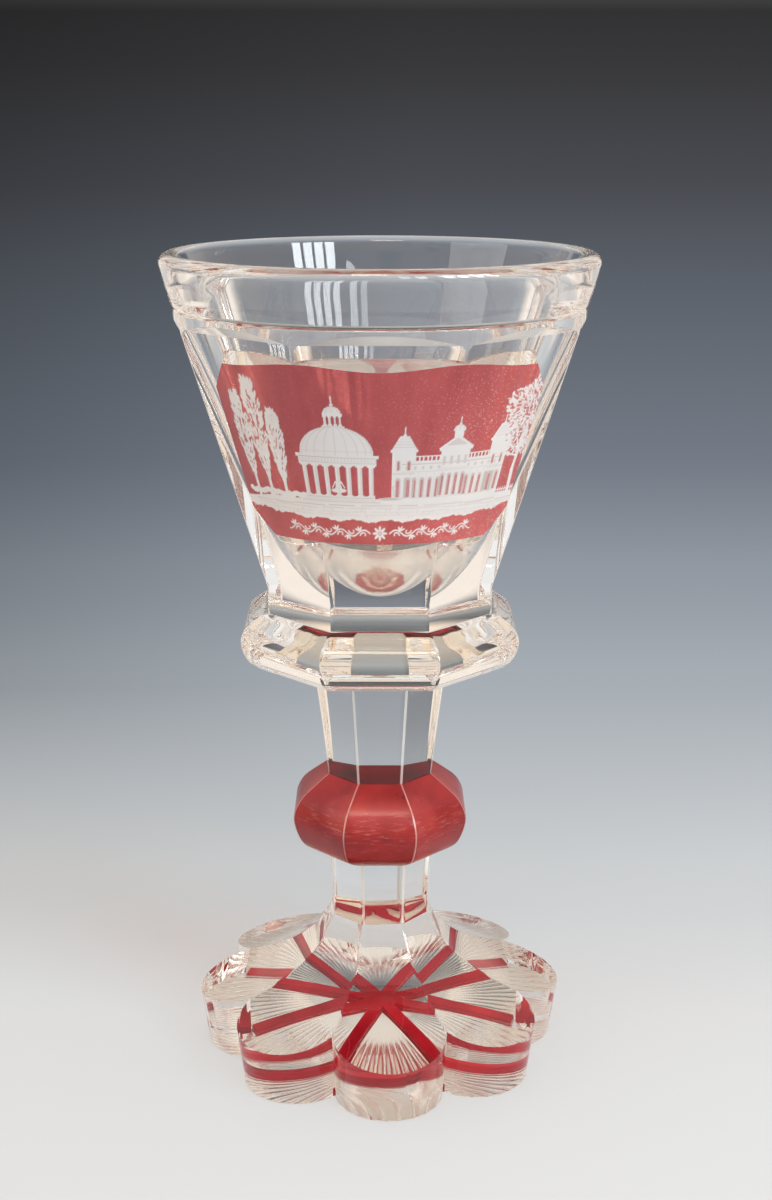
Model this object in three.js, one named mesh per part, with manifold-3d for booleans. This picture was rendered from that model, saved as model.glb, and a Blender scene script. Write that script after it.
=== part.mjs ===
// An octagonal spa goblet: a thick conical bowl with a raised front panel, a cushion-shaped collar,
// a faceted stem with a ruby knop, and a foot of eight lobes with fan cuts under it.
// Millimetres, +Z up. The goblet stands on z = 0 with its axis on the origin, and its front,
// with the panel, faces -Y.

import * as THREE from "three";
import { mergeVertices } from "three/addons/utils/BufferGeometryUtils.js";
import Module from "manifold-3d";

// Driving dimensions. The radii of the octagonal pieces are measured to their corners.

const SIDES = 8;
const ROUND_STEPS = 64;
const JOINT_GAP = 0.3;
const HALF_SIDE = Math.PI / SIDES;
const CORNER_TO_FLAT = Math.cos(HALF_SIDE);
const FOOT_TURN = THREE.MathUtils.degToRad(4);

const LEVEL = {
  floor: 0,
  stemFoot: 33.5,
  knopBottom: 49.2,
  knopTop: 69.3,
  collarBottom: 97.5,
  bowlBottom: 110.4,
  top: 190,
};

const BOWL = {
  neckRadius: 27.3,
  taperStart: 116.2,
  taper: 0.3215,
  facetEnd: 174.6,
  runOutEnd: 177.6,
  runOutRadius: 50.4,
  clearRadius: 53.5,
  shoulder: 178.2,
  landRadius: 45.6,
  grooveDepth: 0.5,
  grooveHeight: 1.0,
  bandTop: 185.4,
  bandTopRadius: 48.1,
  lipRadius: 2.2,
  rimRadius: 48.5,
};

const CAVITY = {
  bottom: 116.0,
  spread: 23.5,
  parabolaRadius: 24.0,
  steps: 8,
};

const PANEL = {
  bottom: 131.5,
  top: 169.6,
  halfAngle: THREE.MathUtils.degToRad(53.5),
  cornerHeight: 5.6,
  cornerWidth: 4.4,
  bevel: 2.6,
  seat: 1.0,
};

const COLLAR = {
  bottomRadius: 29.9,
  chamferRadius: 32.1,
  chamferTop: 99.2,
  bevelRadius: 33.3,
  bevelTop: 101.3,
  widestRadius: 34.0,
  widest: 103.4,
  upperRadius: 33.1,
  upper: 106.5,
  topRadius: 29.2,
  top: 109.9,
};

const UPPER_STEM = {
  bottomRadius: 12.9,
  middleRadius: 15.7,
  middle: 90.4,
  topRadius: 16.7,
};

const KNOP = {
  topRadius: 13.1,
  upperRadius: 19.8,
  upper: 64.1,
  upperBulgeRadius: 21.3,
  upperBulge: 61.9,
  equatorRadius: 21.9,
  equator: 59.6,
  lowerBulgeRadius: 21.4,
  lowerBulge: 56.1,
  lowerRadius: 19.5,
  lower: 52.6,
  bottomRadius: 13.7,
};

const LOWER_STEM = {
  topRadius: 13.0,
  bottomRadius: 12.3,
};

const FOOT = {
  flareRadius: 16.0,
  flare: 26.7,
  slopeRadius: 22.1,
  slope: 21.7,
  plateRadius: 29.5,
  plate: 18.0,
  notchTop: 16.3,
  tipTop: 13.0,
  lobes: 8,
  lobeRadius: 12.5,
  lobeCentre: 29.5,
  lobeFlare: 0.0034,
  lobeSteps: 12,
  domeRadius: 49.5,
};

const GROOVES_PER_FAN = 9;
const FAN = {
  grooves: GROOVES_PER_FAN,
  apex: 5.0,
  length: 42,
  depth: 0.3,
  fill: 0.95,
  pitch: (2 * HALF_SIDE) / GROOVES_PER_FAN,
};

const STAR = {
  ribHalfWidth: 1.45,
  ribReach: 31.8,
  thickness: 1.4,
};

const CLEAR_GLASS = { color: 0xe9e2da, roughness: 0.05, metalness: 0 };
const RUBY_GLASS = { color: 0xa01620, roughness: 0.08, metalness: 0 };
const ENGRAVED_RUBY = { color: 0xa8343a, roughness: 0.35, metalness: 0 };

const manifold = await Module();
manifold.setup();

// Solids and meshes

function toSolid(geometry) {
  const bare = geometry.index ? geometry.toNonIndexed() : geometry.clone();
  bare.deleteAttribute("normal");
  bare.deleteAttribute("uv");
  const merged = mergeVertices(bare, 1e-4);
  const corners = merged.index.array;
  const kept = [];
  for (let i = 0; i < corners.length; i += 3) {
    const [a, b, c] = [corners[i], corners[i + 1], corners[i + 2]];
    if (a !== b && b !== c && c !== a) {
      kept.push(a, b, c);
    }
  }
  const mesh = new manifold.Mesh({
    numProp: 3,
    vertProperties: new Float32Array(merged.attributes.position.array),
    triVerts: new Uint32Array(kept),
  });
  mesh.merge();
  return new manifold.Manifold(mesh);
}

function toMesh(name, solid, look) {
  const result = solid.getMesh();
  const geometry = new THREE.BufferGeometry();
  geometry.setAttribute("position", new THREE.BufferAttribute(result.vertProperties, 3));
  geometry.setIndex(new THREE.BufferAttribute(result.triVerts, 1));
  geometry.computeVertexNormals();
  const mesh = new THREE.Mesh(geometry, new THREE.MeshStandardMaterial(look));
  mesh.name = name;
  return mesh;
}

// Turns a profile of [radius, height] points about the Z axis. The outline has to start and end
// on the axis or close on itself.
function turned(profile, steps, startAngle) {
  const points = profile.map(([radius, height]) => new THREE.Vector2(radius, height));
  const geometry = new THREE.LatheGeometry(points, steps);
  geometry.rotateX(Math.PI / 2);
  geometry.rotateZ(startAngle);
  return toSolid(geometry);
}

// An octagonal solid with a flat side towards the front.
function octagonal(profile, turn = 0) {
  const first = profile[0][1];
  const last = profile[profile.length - 1][1];
  return turned([[0, first], ...profile, [0, last]], SIDES, HALF_SIDE + turn);
}

function extruded(shape, bottom, height, curveSegments = 1) {
  const options = { depth: height, bevelEnabled: false, steps: 1, curveSegments };
  const geometry = new THREE.ExtrudeGeometry(shape, options);
  geometry.translate(0, 0, bottom);
  return geometry;
}

// Bowl

function bowlCorner(height) {
  return BOWL.neckRadius + BOWL.taper * (height - BOWL.taperStart);
}

function bowlOuter() {
  const facets = octagonal([
    [BOWL.neckRadius, LEVEL.bowlBottom],
    [BOWL.neckRadius, BOWL.taperStart],
    [bowlCorner(BOWL.facetEnd), BOWL.facetEnd],
    [BOWL.runOutRadius, BOWL.runOutEnd],
    [BOWL.clearRadius, BOWL.shoulder],
    [BOWL.clearRadius, LEVEL.top],
  ]);
  const lipCentre = [BOWL.rimRadius - BOWL.lipRadius, LEVEL.top - BOWL.lipRadius];
  const round = [
    [0, LEVEL.bowlBottom],
    [BOWL.landRadius, LEVEL.bowlBottom],
    [BOWL.landRadius, BOWL.shoulder - BOWL.grooveHeight / 2],
    [BOWL.landRadius - BOWL.grooveDepth, BOWL.shoulder],
    [BOWL.landRadius + BOWL.grooveDepth / 2, BOWL.shoulder + BOWL.grooveHeight / 2],
    [BOWL.bandTopRadius, BOWL.bandTop],
  ];
  for (const degrees of [0, 30, 60, 90, 120, 150, 180]) {
    const angle = THREE.MathUtils.degToRad(degrees);
    round.push([
      lipCentre[0] + BOWL.lipRadius * Math.cos(angle),
      lipCentre[1] + BOWL.lipRadius * Math.sin(angle),
    ]);
  }
  round.push([0, lipCentre[1]]);
  return facets.intersect(turned(round, ROUND_STEPS, 0));
}

// The hollow is a paraboloid at the bottom and a plain cone up to the lip.
function bowlCavity() {
  const mouth = BOWL.rimRadius - 2 * BOWL.lipRadius;
  const profile = [[0, CAVITY.bottom]];
  for (let i = 1; i <= CAVITY.steps; i += 1) {
    const radius = (CAVITY.parabolaRadius * i) / CAVITY.steps;
    profile.push([radius, CAVITY.bottom + radius ** 2 / CAVITY.spread]);
  }
  profile.push([mouth, LEVEL.top - BOWL.lipRadius]);
  profile.push([mouth, LEVEL.top + 1]);
  profile.push([0, LEVEL.top + 1]);
  return turned(profile, ROUND_STEPS, 0);
}

// View panel

// The panel is part of a round cone through the bowl's corners, let into the facets by its seat.
// Its outline is cut square to the front, which leaves sloping sides, and the top and bottom
// edges slope back to the facets. A clearance makes the same shape larger all round.
function panelSolid(clearance, proud) {
  const bottom = PANEL.bottom - clearance;
  const top = PANEL.top + clearance;
  const seatAt = (height) => bowlCorner(height) * CORNER_TO_FLAT - PANEL.seat - clearance;
  const ring = turned(
    [
      [bowlCorner(bottom) + proud, bottom],
      [bowlCorner(top) + proud, top],
      [seatAt(top + PANEL.bevel), top + PANEL.bevel],
      [seatAt(bottom - PANEL.bevel), bottom - PANEL.bevel],
      [bowlCorner(bottom) + proud, bottom],
    ],
    ROUND_STEPS,
    0,
  );
  const halfWidth = (height) => bowlCorner(height) * Math.sin(PANEL.halfAngle) + clearance;
  const lowCorner = PANEL.bottom + PANEL.cornerHeight;
  const highCorner = PANEL.top - PANEL.cornerHeight;
  const overrun = 2 * PANEL.bevel;
  const cornerSlope = PANEL.cornerWidth / PANEL.cornerHeight;
  const half = [
    [halfWidth(lowCorner) - cornerSlope * (PANEL.cornerHeight + overrun), PANEL.bottom - overrun],
    [halfWidth(lowCorner), lowCorner],
    [halfWidth(highCorner), highCorner],
    [halfWidth(highCorner) - cornerSlope * overrun, PANEL.top + overrun],
  ];
  const outline = new THREE.Shape();
  outline.setFromPoints([
    ...half.map(([x, z]) => new THREE.Vector2(x, z)),
    ...half.reverse().map(([x, z]) => new THREE.Vector2(-x, z)),
  ]);
  const window = extruded(outline, 0, BOWL.rimRadius);
  window.rotateX(Math.PI / 2);
  return ring.intersect(toSolid(window));
}

function makeBowl() {
  const body = bowlOuter().subtract(bowlCavity());
  return toMesh("bowl", body.subtract(panelSolid(JOINT_GAP, 1)), CLEAR_GLASS);
}

function makeViewPanel() {
  return toMesh("view_panel", panelSolid(0, 0), ENGRAVED_RUBY);
}

// Collar and stem

function makeCollar() {
  const solid = octagonal([
    [COLLAR.bottomRadius, LEVEL.collarBottom],
    [COLLAR.chamferRadius, COLLAR.chamferTop],
    [COLLAR.bevelRadius, COLLAR.bevelTop],
    [COLLAR.widestRadius, COLLAR.widest],
    [COLLAR.upperRadius, COLLAR.upper],
    [COLLAR.topRadius, COLLAR.top],
    [BOWL.neckRadius, COLLAR.top + JOINT_GAP / 2],
    [BOWL.neckRadius, LEVEL.bowlBottom - JOINT_GAP],
  ]);
  return toMesh("collar", solid, CLEAR_GLASS);
}

function makeUpperStem() {
  const solid = octagonal([
    [UPPER_STEM.bottomRadius, LEVEL.knopTop + JOINT_GAP],
    [UPPER_STEM.middleRadius, UPPER_STEM.middle],
    [UPPER_STEM.topRadius, LEVEL.collarBottom - JOINT_GAP],
  ]);
  return toMesh("upper_stem", solid, CLEAR_GLASS);
}

function makeRubyKnop() {
  const solid = octagonal([
    [KNOP.bottomRadius, LEVEL.knopBottom],
    [KNOP.lowerRadius, KNOP.lower],
    [KNOP.lowerBulgeRadius, KNOP.lowerBulge],
    [KNOP.equatorRadius, KNOP.equator],
    [KNOP.upperBulgeRadius, KNOP.upperBulge],
    [KNOP.upperRadius, KNOP.upper],
    [KNOP.topRadius, LEVEL.knopTop],
  ]);
  return toMesh("ruby_knop", solid, RUBY_GLASS);
}

function makeLowerStem() {
  const profile = [
    [LOWER_STEM.bottomRadius, LEVEL.stemFoot + JOINT_GAP],
    [LOWER_STEM.topRadius, LEVEL.knopBottom - JOINT_GAP],
  ];
  return toMesh("lower_stem", octagonal(profile, FOOT_TURN), CLEAR_GLASS);
}

// Foot

// The lobes grow outwards by a small share of their radius with each millimetre of height.
function flared(radius, height) {
  return radius * (1 + FOOT.lobeFlare * height);
}

// Two neighbouring lobes meet in a notch, at this distance from the goblet's axis on the floor.
function notchRadius() {
  const toCentre = FOOT.lobeCentre * Math.cos(HALF_SIDE);
  const toSide = FOOT.lobeCentre * Math.sin(HALF_SIDE);
  return toCentre + Math.sqrt(FOOT.lobeRadius ** 2 - toSide ** 2);
}

// Each lobe is an arc about a centre on its own axis.
function lobedOutline() {
  const notch = notchRadius();
  const reach = Math.atan2(
    notch * Math.sin(HALF_SIDE),
    notch * Math.cos(HALF_SIDE) - FOOT.lobeCentre,
  );
  const outline = new THREE.Shape();
  for (let i = 0; i < FOOT.lobes; i += 1) {
    const axis = (i * 2 * Math.PI) / FOOT.lobes;
    outline.absarc(
      FOOT.lobeCentre * Math.cos(axis),
      FOOT.lobeCentre * Math.sin(axis),
      FOOT.lobeRadius,
      axis - reach,
      axis + reach,
      false,
    );
  }
  const geometry = extruded(outline, LEVEL.floor, LEVEL.stemFoot, FOOT.lobeSteps);
  const places = geometry.attributes.position;
  for (let i = 0; i < places.count; i += 1) {
    const height = places.getZ(i);
    places.setX(i, flared(places.getX(i), height));
    places.setY(i, flared(places.getY(i), height));
  }
  return geometry;
}

// The top of the foot falls from the flare to the tips of the lobes, in eight facets.
function footDome() {
  const tipRadius = flared(FOOT.lobeCentre + FOOT.lobeRadius, FOOT.tipTop) / CORNER_TO_FLAT;
  const notch = flared(notchRadius(), FOOT.notchTop);
  const fall = (FOOT.notchTop - FOOT.tipTop) / (tipRadius - notch);
  const profile = [
    [FOOT.domeRadius, LEVEL.floor],
    [FOOT.domeRadius, FOOT.tipTop - fall * (FOOT.domeRadius - tipRadius)],
    [notch, FOOT.notchTop],
    [FOOT.plateRadius, FOOT.plate],
    [FOOT.slopeRadius, FOOT.slope],
    [FOOT.flareRadius, FOOT.flare],
    [LOWER_STEM.bottomRadius, LEVEL.stemFoot],
  ];
  return octagonal(profile, FOOT_TURN);
}

// A groove is a four-sided cone lying on the floor: it starts in a point at the fan's apex and
// grows wider and deeper towards the edge.
function fanGroove(angle) {
  const halfWidth = FAN.length * Math.tan(FAN.pitch / 2) * FAN.fill;
  const cone = new THREE.ConeGeometry(halfWidth, FAN.length, 4, 1);
  cone.rotateZ(Math.PI / 2);
  cone.translate(FAN.length / 2, 0, 0);
  cone.scale(1, 1, FAN.depth / halfWidth);
  cone.rotateZ(angle);
  cone.translate(FAN.apex, 0, 0);
  return cone;
}

function fans() {
  const grooves = [];
  for (let lobe = 0; lobe < FOOT.lobes; lobe += 1) {
    for (let i = 0; i < FAN.grooves; i += 1) {
      const groove = fanGroove((i - (FAN.grooves - 1) / 2) * FAN.pitch);
      groove.rotateZ((lobe * 2 * Math.PI) / FOOT.lobes);
      grooves.push(toSolid(groove));
    }
  }
  return manifold.Manifold.union(grooves);
}

// A star of straight ribs that run out towards the notches and end just short of them. Next to
// each other, two ribs meet in an inner corner on the axis of the lobe between them.
function starSolid(clearance, bottom, height) {
  const halfWidth = STAR.ribHalfWidth + clearance;
  const innerCorner = halfWidth / Math.sin(HALF_SIDE);
  const points = [];
  for (let i = 0; i < SIDES; i += 1) {
    const lobeAxis = (i * 2 * Math.PI) / SIDES;
    const ribAxis = lobeAxis + HALF_SIDE;
    const along = new THREE.Vector2(Math.cos(ribAxis), Math.sin(ribAxis));
    const across = new THREE.Vector2(-along.y, along.x).multiplyScalar(halfWidth);
    const end = along.multiplyScalar(STAR.ribReach + clearance);
    points.push(new THREE.Vector2(Math.cos(lobeAxis), Math.sin(lobeAxis)).multiplyScalar(innerCorner));
    points.push(end.clone().sub(across));
    points.push(end.clone().add(across));
  }
  const outline = new THREE.Shape();
  outline.setFromPoints(points);
  return toSolid(extruded(outline, bottom, height));
}

// Turns a solid made with a lobe on +X so that a lobe faces the front, a little off centre.
function facingFront(solid) {
  const turn = THREE.MathUtils.radToDeg(FOOT_TURN) - 90;
  return solid.rotate([0, 0, turn]);
}

function makeFoot() {
  const plate = toSolid(lobedOutline());
  const channel = starSolid(JOINT_GAP, -STAR.thickness, 2 * STAR.thickness + JOINT_GAP);
  const cut = facingFront(plate.subtract(fans()).subtract(channel));
  return toMesh("foot", cut.intersect(footDome()), CLEAR_GLASS);
}

function makeRubyStar() {
  const star = starSolid(0, LEVEL.floor, STAR.thickness);
  return toMesh("ruby_star", facingFront(star), RUBY_GLASS);
}

const goblet = new THREE.Group();
goblet.add(
  makeBowl(),
  makeViewPanel(),
  makeCollar(),
  makeUpperStem(),
  makeRubyKnop(),
  makeLowerStem(),
  makeFoot(),
  makeRubyStar(),
);

export default goblet;
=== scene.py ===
"""Looks of an octagonal spa goblet: cut clear glass, ruby stain and a frosted engraving.

The goblet is one fused body of glass in reality. Here it is eight closed pieces that meet along
joint planes. The faces on a joint plane let light straight through, so the pieces refract light
as one body would. Sizes are written in millimetres and turned into metres once, in the forms.
"""

import logging
import math
import random
from collections.abc import Callable, Mapping, Sequence
from dataclasses import dataclass, field
from enum import Enum

import bmesh
import bpy
import numpy as np
from mathutils import Matrix, Vector


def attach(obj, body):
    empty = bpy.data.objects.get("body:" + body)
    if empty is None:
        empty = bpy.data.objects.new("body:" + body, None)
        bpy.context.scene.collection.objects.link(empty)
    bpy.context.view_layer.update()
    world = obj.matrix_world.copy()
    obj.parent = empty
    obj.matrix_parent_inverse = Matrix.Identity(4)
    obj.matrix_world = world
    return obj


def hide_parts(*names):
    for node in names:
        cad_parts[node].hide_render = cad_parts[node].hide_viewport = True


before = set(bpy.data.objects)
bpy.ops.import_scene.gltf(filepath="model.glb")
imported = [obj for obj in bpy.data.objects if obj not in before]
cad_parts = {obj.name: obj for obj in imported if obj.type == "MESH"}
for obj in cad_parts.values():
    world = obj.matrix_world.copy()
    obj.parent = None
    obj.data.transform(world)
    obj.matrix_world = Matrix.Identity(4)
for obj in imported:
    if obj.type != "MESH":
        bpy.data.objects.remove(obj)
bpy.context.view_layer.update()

Solid = bmesh.types.BMesh
Object = bpy.types.Object
Material = bpy.types.Material
Socket = bpy.types.NodeSocket
Point = tuple[float, float]
Place = tuple[float, float, float]
Colour = tuple[float, float, float]

LOG = logging.getLogger("goblet")
MM = 0.001
MERGE = 1e-7
SIDES = 8
SECTOR = 2 * math.pi / SIDES
HALF_SIDE = math.pi / SIDES
CORNER_TO_FLAT = math.cos(HALF_SIDE)
FOOT_TURN = math.radians(4)
SMOOTH_BELOW = math.radians(24)
JOINT_GAP = 0.02
CURVE_STEPS = 3
GLASS_INDEX = 1.52
TINT = (1.0, 0.945, 0.86)
TINT_DENSITY = 1.5
WHITE = (1.0, 1.0, 1.0)
LAYERS = ("engraved", "fine_lines", "worn")


class Slot(Enum):
    """The names of three material slots."""

    CLEAR = "clear_glass"
    RUBY = "ruby_glass"
    ENGRAVED = "engraved_ruby"


class Face(Enum):
    """What a face of a glass piece is, in the order of the piece's material slots."""

    SKIN = 0
    JOINT = 1
    GROUND = 2


@dataclass(frozen=True)
class Levels:
    """Heights in millimetres at which one piece of the goblet ends and the next begins."""

    floor: float = 0.0
    flare_top: float = 33.65
    knop_bottom: float = 49.05
    knop_top: float = 69.45
    collar_bottom: float = 97.35
    bowl_bottom: float = 110.25
    top: float = 190.0


LEVEL = Levels()


def set_up(name: str, data: bpy.types.ID) -> Object:
    """Puts an object with the given data into the scene."""
    obj = bpy.data.objects.new(name, data)
    bpy.context.scene.collection.objects.link(obj)
    return obj


def as_mesh(bm: Solid, name: str = "work") -> bpy.types.Mesh:
    """Turns a bmesh, which is used up, into mesh data."""
    mesh = bpy.data.meshes.new(name)
    bm.to_mesh(mesh)
    bm.free()
    return mesh


class Form:
    """Closed meshes made with bmesh operators. Their sizes come in millimetres."""

    @staticmethod
    def verts(made: list) -> list[bmesh.types.BMVert]:
        """Picks the vertices out of what an operator made."""
        return [e for e in made if isinstance(e, bmesh.types.BMVert)]

    @staticmethod
    def turn(bm: Solid, angle: float, verts: list | None = None) -> Solid:
        """Turns a mesh, or some of its vertices, about the axis and returns it."""
        bmesh.ops.rotate(bm, verts=verts or bm.verts, cent=(0, 0, 0),
                         matrix=Matrix.Rotation(angle, 3, "Z"))
        return bm

    @staticmethod
    def _clean(bm: Solid) -> None:
        """Merges points that coincide."""
        bmesh.ops.remove_doubles(bm, verts=bm.verts, dist=MERGE)
        bmesh.ops.dissolve_degenerate(bm, edges=bm.edges, dist=MERGE)

    @staticmethod
    def octagon(profile: list[Point], turn: float = 0.0, corner: float = 0.45,
                joints: tuple[bool, bool] = (True, True), worn: float = 0.0) -> Solid:
        """Draws an octagon up through a profile and rounds its corner edges.

        Args:
            profile: pairs of corner radius and height, from the bottom up.
            turn: angle about the axis, in radians, from a flat side facing the front.
            corner: width of the rounding along the corner edges.
            joints: whether the bottom and the top end are joint planes.
            worn: half the width of the strip along each corner that is marked as ground.

        Returns:
            A closed mesh in metres.
        """
        bm = bmesh.new()
        radius, height = profile[0]
        bmesh.ops.create_circle(bm, cap_ends=False, segments=SIDES, radius=radius * MM)
        Form.turn(bm, HALF_SIDE + turn)
        bmesh.ops.translate(bm, verts=bm.verts, vec=(0, 0, height * MM))
        ring = list(bm.edges)
        ends = bmesh.ops.contextual_create(bm, geom=ring)["faces"]
        for next_radius, next_height in profile[1:]:
            made = bmesh.ops.extrude_edge_only(bm, edges=ring)["geom"]
            ring = [e for e in made if isinstance(e, bmesh.types.BMEdge)]
            verts = Form.verts(made)
            ratio = next_radius / radius
            bmesh.ops.scale(bm, verts=verts, vec=(ratio, ratio, 1))
            bmesh.ops.translate(bm, verts=verts, vec=(0, 0, (next_height - height) * MM))
            radius, height = next_radius, next_height
        ends += bmesh.ops.contextual_create(bm, geom=ring)["faces"]
        for face, is_joint in zip(ends, joints):
            if is_joint:
                face.material_index = Face.JOINT.value
        runs = [e for e in bm.edges if Form._is_corner(e)]
        bmesh.ops.bevel(bm, geom=runs, offset=corner * MM, segments=3, profile=0.5,
                        affect="EDGES", material=-1)
        for face in bm.faces:
            middle = face.calc_center_median()
            side = (math.atan2(middle.y, middle.x) - turn) % SECTOR - HALF_SIDE
            off = abs(side) * math.hypot(middle.x, middle.y)
            if off < worn * MM and face.material_index == Face.SKIN.value:
                face.material_index = Face.GROUND.value
        bmesh.ops.recalc_face_normals(bm, faces=bm.faces)
        return bm

    @staticmethod
    def _is_corner(edge: bmesh.types.BMEdge) -> bool:
        """Says whether an edge runs along a corner and not round the ring."""
        a, b = (v.co for v in edge.verts)
        return abs(a.z - b.z) > MERGE or abs(math.hypot(a.x, a.y) - math.hypot(b.x, b.y)) > 1e-6

    @staticmethod
    def turned(profile: list[Point], steps: int) -> Solid:
        """Spins a profile of radii and heights, which starts and ends on the axis."""
        bm = bmesh.new()
        points = [bm.verts.new((radius * MM, 0, height * MM)) for radius, height in profile]
        lines = [bm.edges.new(pair) for pair in zip(points, points[1:])]
        bmesh.ops.spin(bm, geom=points + lines, cent=(0, 0, 0), axis=(0, 0, 1),
                       angle=2 * math.pi, steps=steps, use_merge=True)
        Form._clean(bm)
        bmesh.ops.recalc_face_normals(bm, faces=bm.faces)
        return bm

    @staticmethod
    def prism(bm: Solid, bottom: float, top: float, flare: float = 0.0) -> Solid:
        """Raises a closed loop of edges in the plane z = 0 into a prism.

        Args:
            bm: a mesh that holds only the loop.
            bottom: lower height in millimetres.
            top: upper height in millimetres.
            flare: share by which it grows outwards with each millimetre of height.

        Returns:
            The same mesh, as a closed prism.
        """
        bmesh.ops.translate(bm, verts=bm.verts, vec=(0, 0, bottom * MM))
        face = bmesh.ops.contextual_create(bm, geom=bm.edges[:])["faces"][0]
        made = bmesh.ops.extrude_face_region(bm, geom=[face], use_keep_orig=True)["geom"]
        verts = Form.verts(made)
        bmesh.ops.translate(bm, verts=verts, vec=(0, 0, (top - bottom) * MM))
        wider = 1 + flare * (top - bottom)
        bmesh.ops.scale(bm, verts=verts, vec=(wider, wider, 1))
        bmesh.ops.recalc_face_normals(bm, faces=bm.faces)
        return bm

    @staticmethod
    def mark(bm: Solid, kind: Face) -> Solid:
        """Gives all faces of a mesh one kind and returns the mesh."""
        for face in bm.faces:
            face.material_index = kind.value
        return bm

    @staticmethod
    def combine(base: Solid, other: Solid, operation: str) -> Solid:
        """Joins, cuts or intersects two closed meshes, which are used up.

        Args:
            base: the mesh that is worked on.
            other: the mesh that is taken away or intersected.
            operation: DIFFERENCE or INTERSECT.

        Returns:
            The resulting closed mesh.
        """
        body, tool = (set_up("work", as_mesh(bm)) for bm in (base, other))
        for obj in (body, tool):
            for _ in Face:
                obj.data.materials.append(None)
        modifier = body.modifiers.new("cut", "BOOLEAN")
        modifier.operation = operation
        modifier.solver = "EXACT"
        modifier.object = tool
        bpy.context.view_layer.update()
        evaluated = body.evaluated_get(bpy.context.evaluated_depsgraph_get())
        result = bmesh.new()
        result.from_mesh(evaluated.to_mesh())
        evaluated.to_mesh_clear()
        for obj in (body, tool):
            mesh = obj.data
            bpy.data.objects.remove(obj)
            bpy.data.meshes.remove(mesh)
        Form._clean(result)
        return result

    @staticmethod
    def curve(points: Sequence[Point], steps: int) -> list[Point]:
        """Draws a smooth curve through profile points, in some steps from each to the next."""
        ends = [points[0], *points, points[-1]]
        curve = []
        for a, b, c, d in zip(ends, ends[1:], ends[2:], ends[3:]):
            for i in range(steps):
                t = i / steps
                curve.append(tuple(
                    0.5 * (2 * q + (r - p) * t + (2 * p - 5 * q + 4 * r - s) * t ** 2
                           + (3 * q - p - 3 * r + s) * t ** 3)
                    for p, q, r, s in zip(a, b, c, d)))
        return [*curve, points[-1]]

    @staticmethod
    def between_joints(points: Sequence[Point], steps: int) -> list[Point]:
        """Draws a curve that ends half a gap inside the joint planes at its ends."""
        curve = Form.curve(points, steps)
        curve[0] = (curve[0][0], curve[0][1] + JOINT_GAP / 2)
        curve[-1] = (curve[-1][0], curve[-1][1] - JOINT_GAP / 2)
        return curve

    @staticmethod
    def piece(name: str, bm: Solid, materials: list[Material], slot: Slot,
              nodes: list[str]) -> Object:
        """Makes a finished object out of a mesh, and sets it in the frame.

        Args:
            name: the object's name.
            bm: its mesh, in metres, which is used up.
            materials: one material for each kind of face.
            slot: a material slot; not used.
            nodes: the CAD nodes that the piece stands for.

        Returns:
            The object.
        """
        for face in bm.faces:
            face.smooth = True
        for edge in bm.edges:
            edge.smooth = len(edge.link_faces) == 2 and edge.calc_face_angle(0.0) < SMOOTH_BELOW
        obj = set_up(name, as_mesh(bm, name))
        for material in materials:
            obj.data.materials.append(material)
        normals = obj.modifiers.new("flat facets", "WEIGHTED_NORMAL")
        normals.keep_sharp = True
        normals.weight = 100
        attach(obj, "root")
        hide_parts(*nodes)
        LOG.info("%s: %d faces", name, len(obj.data.polygons))
        return obj


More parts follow.
